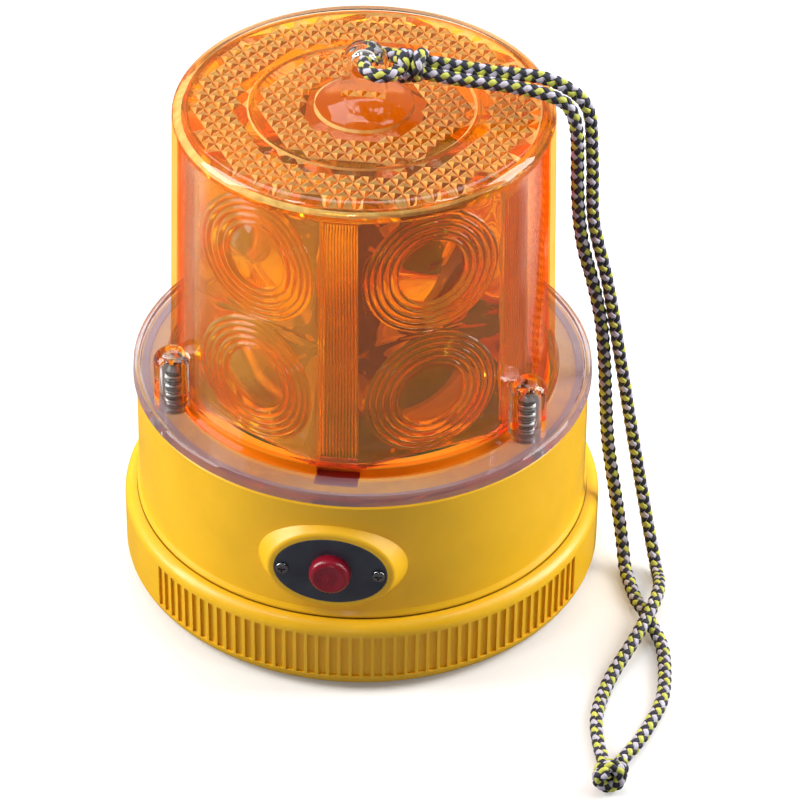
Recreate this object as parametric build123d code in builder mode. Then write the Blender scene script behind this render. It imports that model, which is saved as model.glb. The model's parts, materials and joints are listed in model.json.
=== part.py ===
from build123d import *
import os
from math import cos, hypot, radians, sin

# Portable battery warning beacon: twist-off battery cap with a magnetic foot,
# moulded housing with a push switch, clear screwed-on cover over an amber lens,
# and a carrying cord looped through an eyelet on top.
# Millimetres. Z is up, the switch faces -Y (front), +X is right, and the origin is
# the centre of the foot's resting face.

os.makedirs("parts", exist_ok=True)

# ---------------------------------------------------------------- shared dimensions
GAP = 0.02               # clearance between pieces that rest on each other

# battery cap
CAP_FLOOR = 3.8
CAP_R_IN = 57.3
SEAT_Z = 7.4             # underside of the cap's raised centre
SEAT_TOP = 9.8
SEAT_HOLE_R = 2.6

# housing
NECK_R = 55.8            # threaded neck
NECK_Z = 5.8
DECK_Z0, DECK_Z1 = 50.0, 53.4
SPIGOT_R0, SPIGOT_R1, SPIGOT_Z = 42.4, 44.9, 58.2
GASKET_GROOVE_Z = 53.5

# thread between cap and neck
THREAD_LEAD = 4.0
THREAD_H = 6.0

# switch
SWITCH_Z = 36.3
FACE_Y = -58.6           # front face of the bezel
PLATE_W, PLATE_H = 27.5, 19.1
PLATE_RECESS = 1.5
PLATE_SCREW_SPOTS = ((-11.7, 0), (11.7, 0))
BUTTON_R = 5.0

# light sensor
SENSOR_SPOT = (0, -46.3)
SENSOR_R = 2.5
WINDOW_POCKET_Z = 52.8
POCKET_W, POCKET_D = 10.4, 7.8

# clear cover
FLANGE_Z0 = 55.0
SCREW_AZ = (60, 180, 300)
COVER_HOLE_R = 2.3       # clearance of the cover screws

# board and tower, fixed to the housing deck
BOARD_Z, BOARD_T = 55.0, 1.6
ON_BOARD_Z = BOARD_Z + BOARD_T + GAP
TOWER_BASE_T = 2.0
BOSS_R = 3.0             # deck bosses
PILOT_Z = 51.0

# battery holder, screwed to bosses under the deck
HOLDER_Z0, HOLDER_Z1 = 14.0, 48.0
HOLDER_SCREW_PITCH = (48, 62)      # along X, along Y

# small screws
SHANK_R = 1.3
PILOT_R = SHANK_R + GAP
CLEAR_R = 1.6
SLOT_W = 0.7


def polar(radius, az, z=0.0):
    """Point at azimuth az (0 = front, 90 = right) and height z."""
    return (radius * sin(radians(az)), -radius * cos(radians(az)), z)


def turned_spot(radius, az):
    """Location at azimuth az, turned so that its Y lies along the radius."""
    return Location(polar(radius, az), (0, 0, az))


def ring_of_spots(radius, azimuths):
    return [polar(radius, az) for az in azimuths]


COVER_SCREW_SPOTS = ring_of_spots(50.0, SCREW_AZ)
BOARD_SCREW_SPOTS = ring_of_spots(34, SCREW_AZ)
TOWER_SCREW_SPOTS = ring_of_spots(19, (0, 120, 240))


def thread_tooth(side):
    """Thread section; side is 1 for a tooth pointing inwards, -1 for outwards."""
    return [(0.3 * side, -0.95), (-1.1 * side, -0.45), (-1.1 * side, 0.45), (0.3 * side, 0.95)]


def start_plane(path):
    """Plane square to the start of a path."""
    return Plane(origin=path @ 0, z_dir=path % 0)


def cross(length, width):
    """Cross for a screw slot, drawn in the open sketch."""
    Rectangle(length, width)
    Rectangle(width, length)


def save(item, name):
    item.part.label = name
    export_step(item.part, "parts/" + name + ".step")


def save_flat_ring(name, z0, z1, outer_r, inner_r):
    with BuildPart() as ring:
        with BuildSketch(Plane.XY.offset(z0)):
            Circle(outer_r)
            Circle(inner_r, mode=Mode.SUBTRACT)
        extrude(amount=z1 - z0)
    save(ring, name)


def save_turned(name, outline):
    """Save the piece turned about Z from a closed outline of (radius, z) points."""
    with BuildPart() as turned:
        with BuildSketch(Plane.XZ):
            with BuildLine():
                Polyline(*outline, close=True)
            make_face()
        revolve(axis=Axis.Z)
    save(turned, name)


def save_coil_spring(name, pitch, height, radius, center, direction, wire_r):
    with BuildPart() as spring:
        with BuildLine() as coil:
            Helix(pitch=pitch, height=height, radius=radius, center=center, direction=direction)
        with BuildSketch(start_plane(coil.line)):
            Circle(wire_r)
        sweep(path=coil.line, is_frenet=True)
    save(spring, name)


def save_deck_screws(name, spots, head_z, head_r, head_h, rounding, shank_h,
                     slot_l, slot_z, slot_depth):
    """Save screws driven down into the deck; the slot is cut down from slot_z."""
    with BuildPart() as screws:
        with BuildSketch(Plane.XY.offset(head_z)):
            with Locations(*spots):
                Circle(head_r)
        extrude(amount=head_h)
        fillet(screws.edges().group_by(Axis.Z)[-1], radius=rounding)
        with BuildSketch(Plane.XY.offset(PILOT_Z + 0.3)):
            with Locations(*spots):
                Circle(SHANK_R)
        extrude(amount=shank_h)
        with BuildSketch(Plane.XY.offset(slot_z)):
            with Locations(*spots):
                cross(slot_l, SLOT_W)
        extrude(amount=-slot_depth, mode=Mode.SUBTRACT)
    save(screws, name)


# ---------------------------------------------------------------- battery cap
RING_R = 60.4            # grip ring
RING_TOP = 20.5          # seam between cap and housing
CAP_BOTTOM = 0.8
FOOT_RECESS_R = 36.0
RIB_Z0, RIB_Z1 = 4.6, 17.0
GROOVES = 46             # per ribbed sector
GROOVE_PITCH = 2.6       # degrees
GROOVE_W, GROOVE_DEPTH = 2.6, 0.75
SECTOR_AZ = (10.0, 190.0)
FLOOR_RIB_L, FLOOR_RIB_T = 13.4, 1.6
CAP_THREAD_Z = 7.0

with BuildPart() as battery_cap:
    # one turned shell: rounded bottom edge, grip band, shoulder up to the seam,
    # floor with a raised centre over the magnet recess
    with BuildSketch(Plane.XZ):
        with BuildLine():
            Line((SEAT_HOLE_R, SEAT_Z), (FOOT_RECESS_R, SEAT_Z))
            Line((FOOT_RECESS_R, SEAT_Z), (FOOT_RECESS_R, CAP_BOTTOM))
            Line((FOOT_RECESS_R, CAP_BOTTOM), (56.6, CAP_BOTTOM))
            ThreePointArc((56.6, CAP_BOTTOM), (59.3, 1.95), (RING_R, 4.2))
            Line((RING_R, 4.2), (RING_R, 17.6))
            ThreePointArc((RING_R, 17.6), (59.7, 19.55), (58.2, RING_TOP))
            Polyline((58.2, RING_TOP), (CAP_R_IN, RING_TOP), (CAP_R_IN, CAP_FLOOR),
                     (38.0, CAP_FLOOR), (38.0, SEAT_TOP), (SEAT_HOLE_R, SEAT_TOP),
                     (SEAT_HOLE_R, SEAT_Z))
        make_face()
    revolve(axis=Axis.Z)
    # grip grooves in two sectors
    with BuildSketch(Plane.XY.offset(RIB_Z0)):
        groove_angles = [(i - (GROOVES - 1) / 2) * GROOVE_PITCH for i in range(GROOVES)]
        with Locations(*[turned_spot(RING_R + 0.05, middle + angle)
                         for middle in SECTOR_AZ for angle in groove_angles]):
            Trapezoid(GROOVE_W, 2 * GROOVE_DEPTH, 65, rotation=180)
    extrude(amount=RIB_Z1 - RIB_Z0, mode=Mode.SUBTRACT)
    # stiffening ribs on the floor
    with BuildSketch(Plane.XY.offset(CAP_FLOOR)):
        with PolarLocations(44.6, 12, start_angle=15):
            Rectangle(FLOOR_RIB_L, FLOOR_RIB_T)
    extrude(amount=1.6)
    # internal thread
    with BuildLine() as cap_helix:
        Helix(pitch=THREAD_LEAD, height=THREAD_H, radius=CAP_R_IN, center=(0, 0, CAP_THREAD_Z))
    with BuildSketch(Plane(origin=cap_helix.line @ 0, x_dir=(1, 0, 0),
                           z_dir=cap_helix.line % 0)):
        with BuildLine():
            Polyline(*thread_tooth(1), close=True)
        make_face()
    sweep(path=cap_helix.line, is_frenet=True)
save(battery_cap, "battery_cap")

save_flat_ring("cap_gasket", CAP_FLOOR + GAP / 2, NECK_Z - GAP, outer_r=56.7, inner_r=53.0)

# ---------------------------------------------------------------- magnetic foot
CUP_ROOF_Z = 5.4         # underside of the cup's roof
CUP_R_IN, CUP_R = 31.0, 33.0
MAGNET_R_IN, MAGNET_R, MAGNET_Z = 8.0, 30.9, 1.7
BOOT_R = 35.4
DRAIN_RADII = (26.0, 19.0, 12.0)
DRAIN_W, DRAIN_DEPTH = 1.2, 0.4
FOOT_SCREW_Z = 2.5
WASHER_Z = SEAT_TOP + GAP
WASHER_T = 1.0

save_turned("magnet_cup", [
    (SEAT_HOLE_R, CUP_ROOF_Z), (CUP_R_IN, CUP_ROOF_Z), (CUP_R_IN, 1.6), (CUP_R, 1.6),
    (CUP_R, 6.6), (32.2, SEAT_Z - GAP), (SEAT_HOLE_R, SEAT_Z - GAP)])

save_turned("ring_magnet", [
    (MAGNET_R_IN, MAGNET_Z), (MAGNET_R, MAGNET_Z),
    (MAGNET_R, CUP_ROOF_Z - GAP), (MAGNET_R_IN, CUP_ROOF_Z - GAP)])

with BuildPart() as magnet_boot:
    with BuildSketch(Plane.XZ):
        with BuildLine():
            Polyline((0, 0), (BOOT_R - 1.2, 0), (BOOT_R, 1.2), (BOOT_R, 6.2),
                     (CUP_R + 0.05, 6.2), (CUP_R + 0.05, 1.55), (0, 1.55), close=True)
        make_face()
    revolve(axis=Axis.Z)
    # shallow drainage grooves in the resting face
    with BuildSketch(Plane.XY):
        for drain_r in DRAIN_RADII:
            Circle(drain_r + DRAIN_W / 2)
            Circle(drain_r - DRAIN_W / 2, mode=Mode.SUBTRACT)
    extrude(amount=DRAIN_DEPTH, mode=Mode.SUBTRACT)
save(magnet_boot, "magnet_boot")

with BuildPart() as magnet_screw:
    with BuildSketch(Plane.XZ):
        with BuildLine():
            Polyline((0, FOOT_SCREW_Z), (3.4, FOOT_SCREW_Z), (4.5, 3.4), (4.5, 5.37),
                     (2.48, 5.37), (2.48, 15.4), (1.9, 16.0), (0, 16.0), close=True)
        make_face()
    revolve(axis=Axis.Z)
    with BuildSketch(Plane.XY.offset(FOOT_SCREW_Z)):
        cross(4.6, 0.9)
    extrude(amount=1.5, mode=Mode.SUBTRACT)
save(magnet_screw, "magnet_screw")

save_flat_ring("magnet_washer", WASHER_Z, WASHER_Z + WASHER_T, outer_r=5.0, inner_r=2.6)

with BuildPart() as magnet_nut:
    with BuildSketch(Plane.XY.offset(WASHER_Z + WASHER_T + GAP / 2)):
        RegularPolygon(radius=4.0, side_count=6, major_radius=False)
        Circle(2.52, mode=Mode.SUBTRACT)
    extrude(amount=4.0)
save(magnet_nut, "magnet_nut")

# ---------------------------------------------------------------- housing
STEP_Z = 20.9            # shoulder above the neck
WALL_R = 56.5
WALL_R_IN = 53.9
RIM_Z = 54.6
BEZEL_RADII = (15.4, 11.2)
BEZEL_ROOT_RADII = (18.9, 14.2)
BEZEL_DEPTH = 6.4
HOLDER_BOSS_Z = HOLDER_Z1 + GAP
HOLDER_BOSS_R = 3.5
NECK_THREAD_Z = 9.0
COUNTERBORE_DEPTH = 1.8

switch_face = Plane(origin=(0, FACE_Y, SWITCH_Z), x_dir=(1, 0, 0), z_dir=(0, -1, 0))

with BuildPart() as housing:
    # solid body with neck, wall, rim, spigot and deck
    with BuildSketch(Plane.XZ):
        with BuildLine():
            Polyline((0, NECK_Z), (NECK_R - 0.4, NECK_Z), (NECK_R, NECK_Z + 0.4),
                     (NECK_R, STEP_Z), (57.2, STEP_Z), (57.2, 21.5), (WALL_R + 0.1, 22.6),
                     (WALL_R - 0.1, 53.9), (55.9, RIM_Z), (SPIGOT_R1, RIM_Z),
                     (SPIGOT_R1, SPIGOT_Z), (SPIGOT_R0, SPIGOT_Z), (SPIGOT_R0, DECK_Z1),
                     (0, DECK_Z1), close=True)
        make_face()
    revolve(axis=Axis.Z)
    # raised oval bezel
    with BuildSketch(switch_face):
        Ellipse(*BEZEL_RADII)
    with BuildSketch(switch_face.offset(-BEZEL_DEPTH)):
        Ellipse(*BEZEL_ROOT_RADII)
    loft()
    fillet(housing.edges().filter_by(GeomType.ELLIPSE).group_by(Axis.Y)[0], radius=1.3)
    # battery space
    with BuildSketch(Plane.XY.offset(NECK_Z)):
        Circle(WALL_R_IN)
    extrude(amount=DECK_Z0 - NECK_Z, mode=Mode.SUBTRACT)
    # bosses under the deck for the battery holder, and on top for the board
    with BuildSketch(Plane.XY.offset(HOLDER_BOSS_Z)):
        with GridLocations(*HOLDER_SCREW_PITCH, 2, 2):
            Circle(HOLDER_BOSS_R)
    extrude(amount=DECK_Z0 - HOLDER_BOSS_Z)
    with BuildSketch(Plane.XY.offset(DECK_Z1)):
        with Locations(*BOARD_SCREW_SPOTS, *TOWER_SCREW_SPOTS):
            Circle(BOSS_R)
    extrude(amount=BOARD_Z - GAP - DECK_Z1)
    # pilot holes in both sets of bosses
    with BuildSketch(Plane.XY.offset(HOLDER_Z1)):
        with GridLocations(*HOLDER_SCREW_PITCH, 2, 2):
            Circle(PILOT_R)
    extrude(amount=4.4, mode=Mode.SUBTRACT)
    with BuildSketch(Plane.XY.offset(PILOT_Z)):
        with Locations(*BOARD_SCREW_SPOTS, *TOWER_SCREW_SPOTS):
            Circle(PILOT_R)
    extrude(amount=5, mode=Mode.SUBTRACT)
    # gasket groove in the rim
    with BuildSketch(Plane.XY.offset(GASKET_GROOVE_Z)):
        Circle(55.0)
        Circle(53.2, mode=Mode.SUBTRACT)
    extrude(amount=3, mode=Mode.SUBTRACT)
    # holes for the cover screws, battery leads, switch leads and sensor
    with BuildSketch(Plane.XY.offset(DECK_Z0 - 1)):
        with Locations(*COVER_SCREW_SPOTS):
            Circle(COVER_HOLE_R)
        with Locations((-38.0, 0)):
            Circle(4.0)
        with Locations((0, -37.8)):
            Circle(3.4)
        with Locations(SENSOR_SPOT):
            Circle(SENSOR_R + 0.05)
    extrude(amount=12, mode=Mode.SUBTRACT)
    # pocket for the sensor window, cut through the spigot at the front
    with BuildSketch(Plane.XY.offset(WINDOW_POCKET_Z)):
        with Locations(SENSOR_SPOT):
            Rectangle(POCKET_W, POCKET_D)
    extrude(amount=12, mode=Mode.SUBTRACT)
    # recess for the switch plate, seal counterbore, switch hole, plate screw holes
    with BuildSketch(switch_face):
        Ellipse(PLATE_W / 2 + 0.12, PLATE_H / 2 + 0.12)
    extrude(amount=-PLATE_RECESS, mode=Mode.SUBTRACT)
    with BuildSketch(switch_face.offset(-PLATE_RECESS)):
        Circle(9.1)
    extrude(amount=-COUNTERBORE_DEPTH, mode=Mode.SUBTRACT)
    with BuildSketch(switch_face.offset(-3.0)):
        Circle(7.7)
    extrude(amount=-6, mode=Mode.SUBTRACT)
    with BuildSketch(switch_face.offset(-1.0)):
        with Locations(*PLATE_SCREW_SPOTS):
            Circle(0.97)
    extrude(amount=-4.4, mode=Mode.SUBTRACT)
    # external thread on the neck
    with BuildLine() as neck_helix:
        Helix(pitch=THREAD_LEAD, height=THREAD_H, radius=NECK_R, center=(0, 0, NECK_THREAD_Z))
    with BuildSketch(Plane(origin=neck_helix.line @ 0, x_dir=(1, 0, 0),
                           z_dir=neck_helix.line % 0)):
        with BuildLine():
            Polyline(*thread_tooth(-1), close=True)
        make_face()
    sweep(path=neck_helix.line, is_frenet=True)
save(housing, "housing")

# ---------------------------------------------------------------- switch
# Offsets from switch_face are negative into the housing.
BODY_FLANGE_R = 9.0
BODY_FLANGE_BACK = 2.52
BODY_BACK = 16.2
TERMINAL_SPOTS = ((-3.2, 0), (3.2, 0))
TERMINAL_T, TERMINAL_W = 0.8, 4.0
PLATE_SCREW_HEAD_Z = 0.03          # underside of the heads, in front of the face

with BuildPart() as switch_seal:
    with BuildSketch(switch_face.offset(-(PLATE_RECESS + COUNTERBORE_DEPTH - GAP / 2))):
        Circle(BODY_FLANGE_R)
        Circle(7.8, mode=Mode.SUBTRACT)
    extrude(amount=0.75)
save(switch_seal, "switch_seal")

with BuildPart() as switch_body:
    # flange, barrel, then the bore for the button
    with BuildSketch(switch_face.offset(-BODY_FLANGE_BACK)):
        Circle(BODY_FLANGE_R)
    extrude(amount=1.0)
    with BuildSketch(switch_face.offset(-BODY_BACK)):
        Circle(7.5)
    extrude(amount=14.0)
    with BuildSketch(switch_face.offset(-9.6)):
        Circle(6.05)
    extrude(amount=12, mode=Mode.SUBTRACT)
    # slots for the terminals in the back
    with BuildSketch(switch_face.offset(-BODY_BACK)):
        with Locations(*TERMINAL_SPOTS):
            Rectangle(TERMINAL_T + 0.06, TERMINAL_W + 0.06)
    extrude(amount=2.0, mode=Mode.SUBTRACT)
save(switch_body, "switch_body")

with BuildPart() as switch_terminals:
    with BuildSketch(switch_face.offset(-20.1)):
        with Locations(*TERMINAL_SPOTS):
            Rectangle(TERMINAL_T, TERMINAL_W)
    extrude(amount=5.8)
save(switch_terminals, "switch_terminals")


def button_point(depth, radius):
    """Point of the button's section in YZ; depth runs into the housing."""
    return (depth + FACE_Y, SWITCH_Z + radius)


with BuildPart() as switch_button:
    # dished cap with a rounded edge, and a flange that keeps it behind the plate
    with BuildSketch(Plane.YZ):
        with BuildLine():
            Polyline(button_point(-3.15, 0), button_point(-2.85, 2.0), button_point(-3.25, 3.7))
            ThreePointArc(button_point(-3.25, 3.7), button_point(-2.75, 4.6),
                          button_point(-1.6, BUTTON_R))
            Polyline(button_point(-1.6, BUTTON_R), button_point(1.54, BUTTON_R),
                     button_point(1.54, 5.98), button_point(3.0, 5.98),
                     button_point(3.0, 0), button_point(-3.15, 0))
        make_face()
    revolve(axis=Axis((0, 0, SWITCH_Z), (0, 1, 0)))
    # seat for the return spring
    with BuildSketch(switch_face.offset(-3.0)):
        Circle(5.0)
        Circle(3.0, mode=Mode.SUBTRACT)
    extrude(amount=1.0, mode=Mode.SUBTRACT)
save(switch_button, "switch_button")

save_coil_spring("switch_spring", pitch=1.5, height=6.3, radius=4.0,
                 center=(0, FACE_Y + 2.5, SWITCH_Z), direction=(0, 1, 0), wire_r=0.3)

with BuildPart() as switch_plate:
    with BuildSketch(switch_face.offset(-(PLATE_RECESS - GAP))):
        Ellipse(PLATE_W / 2, PLATE_H / 2)
        Circle(BUTTON_R + 0.08, mode=Mode.SUBTRACT)
        with Locations(*PLATE_SCREW_SPOTS):
            Circle(1.1, mode=Mode.SUBTRACT)
    extrude(amount=1.5)
save(switch_plate, "switch_plate")

with BuildPart() as switch_plate_screws:
    with BuildSketch(switch_face.offset(PLATE_SCREW_HEAD_Z)):
        with Locations(*PLATE_SCREW_SPOTS):
            Circle(1.6)
    extrude(amount=0.85)
    fillet(switch_plate_screws.edges().group_by(Axis.Y)[0], radius=0.5)
    with BuildSketch(switch_face.offset(PLATE_SCREW_HEAD_Z)):
        with Locations(*PLATE_SCREW_SPOTS):
            Circle(0.95)
    extrude(amount=-5.2)
    with BuildSketch(switch_face.offset(0.9)):
        with Locations(*PLATE_SCREW_SPOTS):
            cross(1.9, 0.42)
    extrude(amount=-0.62, mode=Mode.SUBTRACT)
save(switch_plate_screws, "switch_plate_screws")

# ---------------------------------------------------------------- light sensor
SENSOR_LEG_X = 1.27

with BuildPart() as sensor_window:
    with BuildSketch(Plane.XY.offset(WINDOW_POCKET_Z + 0.04)):
        with Locations(SENSOR_SPOT):
            Rectangle(POCKET_W - 0.3, POCKET_D - 0.3)
    extrude(amount=1.96)
    chamfer(sensor_window.edges().group_by(Axis.Z)[-1], length=0.3)
save(sensor_window, "sensor_window")

with BuildPart() as light_sensor:
    with BuildSketch(Plane.XY.offset(48.4)):
        with Locations(SENSOR_SPOT):
            Circle(SENSOR_R)
    extrude(amount=4.35)
    with BuildSketch(Plane.XY.offset(45.6)):
        with Locations((-SENSOR_LEG_X, SENSOR_SPOT[1]), (SENSOR_LEG_X, SENSOR_SPOT[1])):
            Circle(0.3)
    extrude(amount=3.0)
save(light_sensor, "light_sensor")

# ---------------------------------------------------------------- cover
FLANGE_Z1 = 58.1
FLANGE_R = 57.2
DOME_R0, DOME_R1 = 47.75, 45.75    # at the flange and under the top edge
DOME_TOP = 133.0
DOME_WALL = 1.35
TOP_WALL = 2.4
HUB_R, HUB_H = 11.8, 2.4
EYE_W, EYE_T, EYE_HOLE = 10.5, 4.4, 6.0
EYE_Z = 143.2                      # centre of the eyelet hole
COVER_BOSS_R, COVER_BOSS_TOP = 4.9, 73.0
INNER_R0 = SPIGOT_R1 + 0.45        # clears the spigot
INNER_R1 = DOME_R1 - DOME_WALL

save_flat_ring("cover_gasket", GASKET_GROOVE_Z + GAP, FLANGE_Z0 - GAP,
               outer_r=54.95, inner_r=53.25)

with BuildPart() as clear_cover:
    # solid flange, dome and hub
    with BuildSketch(Plane.XZ):
        with BuildLine():
            Polyline((0, FLANGE_Z0), (FLANGE_R - 0.3, FLANGE_Z0), (FLANGE_R, FLANGE_Z0 + 0.3),
                     (FLANGE_R - 0.1, FLANGE_Z1 - 0.5), (FLANGE_R - 0.6, FLANGE_Z1),
                     (FLANGE_R - 1.5, FLANGE_Z1), (FLANGE_R - 2.1, FLANGE_Z1 - 0.7),
                     (DOME_R0 + 1.0, FLANGE_Z1 - 0.7), (DOME_R0, FLANGE_Z1 + 0.3),
                     (DOME_R1, DOME_TOP - 3.2))
            ThreePointArc((DOME_R1, DOME_TOP - 3.2), (44.75, 132.1), (42.6, DOME_TOP))
            Polyline((42.6, DOME_TOP), (HUB_R, DOME_TOP))
            ThreePointArc((HUB_R, DOME_TOP), (8.2, DOME_TOP + 0.52 * HUB_H),
                          (0, DOME_TOP + HUB_H))
            Line((0, DOME_TOP + HUB_H), (0, FLANGE_Z0))
        make_face()
    revolve(axis=Axis.Z)
    # screw bosses with domed tops
    for spot in COVER_SCREW_SPOTS:
        with BuildSketch(Plane(origin=spot, x_dir=(1, 0, 0), z_dir=(0, -1, 0))):
            with BuildLine():
                Polyline((0, FLANGE_Z0 + 1), (COVER_BOSS_R, FLANGE_Z0 + 1),
                         (COVER_BOSS_R - 0.15, COVER_BOSS_TOP - 2.6))
                ThreePointArc((COVER_BOSS_R - 0.15, COVER_BOSS_TOP - 2.6),
                              (3.9, COVER_BOSS_TOP - 0.8), (1.8, COVER_BOSS_TOP))
                Polyline((1.8, COVER_BOSS_TOP), (0, COVER_BOSS_TOP + 0.1), (0, FLANGE_Z0 + 1))
            make_face()
        revolve(axis=Axis(spot, (0, 0, 1)))
    # eyelet post
    with BuildSketch(Plane.XZ.offset(-EYE_T / 2)):
        with Locations((0, EYE_Z)):
            Circle(EYE_W / 2)
        with Locations((0, (EYE_Z + DOME_TOP + 1) / 2)):
            Rectangle(EYE_W, EYE_Z - DOME_TOP - 1)
    extrude(amount=EYE_T)
    with BuildSketch(Plane.XZ.offset(-10)):
        with Locations((0, EYE_Z)):
            Circle(EYE_HOLE / 2)
    extrude(amount=20, mode=Mode.SUBTRACT)
    fillet(clear_cover.edges().filter_by(GeomType.CIRCLE).filter_by(
        lambda e: abs(e.center().Z - EYE_Z) < 0.01 and abs(e.radius - EYE_HOLE / 2) < 0.01),
        radius=1.1)
    # hollow inside
    with BuildSketch(Plane.XZ):
        with BuildLine():
            Polyline((0, FLANGE_Z0 - 1), (INNER_R0, FLANGE_Z0 - 1), (INNER_R0, FLANGE_Z1 - 1.1),
                     (DOME_R0 - DOME_WALL, FLANGE_Z1 - 0.1), (INNER_R1, DOME_TOP - 3.6),
                     (INNER_R1 - 1.2, DOME_TOP - TOP_WALL), (0, DOME_TOP - TOP_WALL),
                     close=True)
        make_face()
    revolve(axis=Axis.Z, mode=Mode.SUBTRACT)
    # blind screw holes
    with BuildSketch(Plane.XY.offset(FLANGE_Z0)):
        with Locations(*COVER_SCREW_SPOTS):
            Circle(2.13)
    extrude(amount=15.4, mode=Mode.SUBTRACT)
save(clear_cover, "clear_cover")

# cover screws, driven upwards from below the deck
HEAD_Z0, HEAD_Z1, HEAD_R = 46.4, 49.17, 3.8
ROOT_R, CREST_R = 1.7, 2.1
THREAD_Z, THREAD_PITCH, THREAD_ROWS = 53.65, 1.4, 11

screw_outline = [(0, HEAD_Z0), (2.6, HEAD_Z0), (3.7, 47.3), (HEAD_R, 48.4), (HEAD_R, HEAD_Z1),
                 (ROOT_R, HEAD_Z1), (ROOT_R, THREAD_Z - 0.05)]
for row in range(THREAD_ROWS):
    row_z = THREAD_Z + THREAD_PITCH * row
    screw_outline += [(ROOT_R, row_z), (CREST_R, row_z + 0.55),
                      (CREST_R, row_z + 0.75), (ROOT_R, row_z + 1.3)]
screw_outline += [(1.5, 69.5), (0, 69.9)]

with BuildPart() as centred_screw:
    with BuildSketch(Plane.XZ):
        with BuildLine():
            Polyline(*screw_outline, close=True)
        make_face()
    revolve(axis=Axis.Z)
    with BuildSketch(Plane.XY.offset(HEAD_Z0)):
        cross(4.4, 0.9)
    extrude(amount=1.6, mode=Mode.SUBTRACT)
with BuildPart() as cover_screws:
    with Locations(*COVER_SCREW_SPOTS):
        add(centred_screw.part)
save(cover_screws, "cover_screws")

with BuildPart() as cover_washers:
    with BuildSketch(Plane.XY.offset(HEAD_Z1 + GAP)):
        with Locations(*COVER_SCREW_SPOTS):
            Circle(3.75)
            Circle(COVER_HOLE_R, mode=Mode.SUBTRACT)
    extrude(amount=0.79)
save(cover_washers, "cover_washers")

# ---------------------------------------------------------------- amber lens
LENS_Z0, LENS_Z1 = 58.4, 130.2
LENS_R = 45.9
FLAT_AP = 42.0           # centre to each of four flats, round sides between them
LENS_WALL = 2.2
LENS_TAPER = 1.5         # degrees
LENS_BODY_H = LENS_Z1 - 2.4 - LENS_Z0
FLUTE_PITCH = 1.3        # degrees


def flats(apothem):
    """Outline whose four sides face 30 degrees either side of the front and of the back."""
    tip = apothem / cos(radians(30))
    return [(0, -tip), (2 * apothem, 0), (0, tip), (-2 * apothem, 0)]


with BuildPart() as amber_lens:
    with BuildSketch(Plane.XY.offset(LENS_Z0)):
        Circle(LENS_R)
        Polygon(*flats(FLAT_AP), align=None, mode=Mode.INTERSECT)
    extrude(amount=LENS_BODY_H, taper=LENS_TAPER)
    # round top plate
    with BuildSketch(Plane.XZ):
        with BuildLine():
            Polyline((0, LENS_Z1 - 2.6), (43.7, LENS_Z1 - 2.6), (43.4, LENS_Z1 - 0.9),
                     (42.3, LENS_Z1), (0, LENS_Z1), close=True)
        make_face()
    revolve(axis=Axis.Z)
    # hollow inside
    with BuildSketch(Plane.XY.offset(LENS_Z0)):
        Circle(LENS_R - LENS_WALL)
        Polygon(*flats(FLAT_AP - LENS_WALL), align=None, mode=Mode.INTERSECT)
    extrude(amount=LENS_BODY_H, taper=LENS_TAPER, mode=Mode.SUBTRACT)
    # fluted corner strips
    with BuildSketch(Plane.XY.offset(62.0)):
        with Locations(*[turned_spot(LENS_R - 0.5, 60 * strip + FLUTE_PITCH * flute)
                         for strip in range(6) for flute in range(-4, 5)]):
            Rectangle(0.42, 1.6)
    extrude(amount=65.0, mode=Mode.SUBTRACT)
    # feet of the strips
    with BuildSketch(Plane.XY.offset(LENS_Z0 + 0.1)):
        Circle(46.1)
        Circle(43.9, mode=Mode.SUBTRACT)
        with Locations(*[turned_spot(45.0, 60 * side + 30) for side in range(6)]):
            Rectangle(32.6, 9.0, mode=Mode.SUBTRACT)
    extrude(amount=3.1)
save(amber_lens, "amber_lens")

# ---------------------------------------------------------------- electronics
CHIP_SPOT = (18.0, 26.5)
CHIP_W = 5.2

with BuildPart() as control_board:
    with BuildSketch(Plane.XY.offset(BOARD_Z)):
        Circle(40.5)
        with Locations(*BOARD_SCREW_SPOTS, *TOWER_SCREW_SPOTS):
            Circle(CLEAR_R, mode=Mode.SUBTRACT)
    extrude(amount=BOARD_T)
save(control_board, "control_board")

save_deck_screws("board_screws", BOARD_SCREW_SPOTS, head_z=ON_BOARD_Z, head_r=2.8, head_h=2.0,
                 rounding=0.9, shank_h=5.4, slot_l=3.0, slot_z=58.7, slot_depth=1.1)

with BuildPart() as boost_inductor:
    with Locations((29.8, 5.0, 58.95)):
        Torus(4.6, 2.3)
save(boost_inductor, "boost_inductor")

with BuildPart() as storage_capacitor:
    with BuildSketch(Plane.XY.offset(ON_BOARD_Z)):
        with Locations((-24.0, 18.0)):
            Circle(5.0)
    extrude(amount=11.5)
    fillet(storage_capacitor.edges().group_by(Axis.Z)[-1], radius=0.6)
save(storage_capacitor, "storage_capacitor")

with BuildPart() as controller_chip:
    # base with two rows of four legs, then the body
    with BuildSketch(Plane.XY.offset(ON_BOARD_Z)):
        with Locations(CHIP_SPOT):
            Rectangle(CHIP_W, 5.0)
            with GridLocations(1.27, 6.2, 4, 2):
                Rectangle(0.42, 1.4)
    extrude(amount=0.5)
    with BuildSketch(Plane.XY.offset(56.9)):
        with Locations(CHIP_SPOT):
            Rectangle(CHIP_W, 4.4)
    extrude(amount=1.4)
save(controller_chip, "controller_chip")

# ---------------------------------------------------------------- LED tower
TOWER_AP = 13.5          # centre to each flat of the hexagon
TOWER_WALL = 2.0
TOWER_H = 66.0
LED_AZ = [30 + 60 * n for n in range(6)]
LED_Z = (76.0, 111.0)
LED_BOARD_W, LED_BOARD_H, LED_BOARD_T = 14.2, 58.0, 1.6
LED_BOARD_R = TOWER_AP + GAP       # back of the LED boards
LED_LENS_R = 2.6

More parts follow.
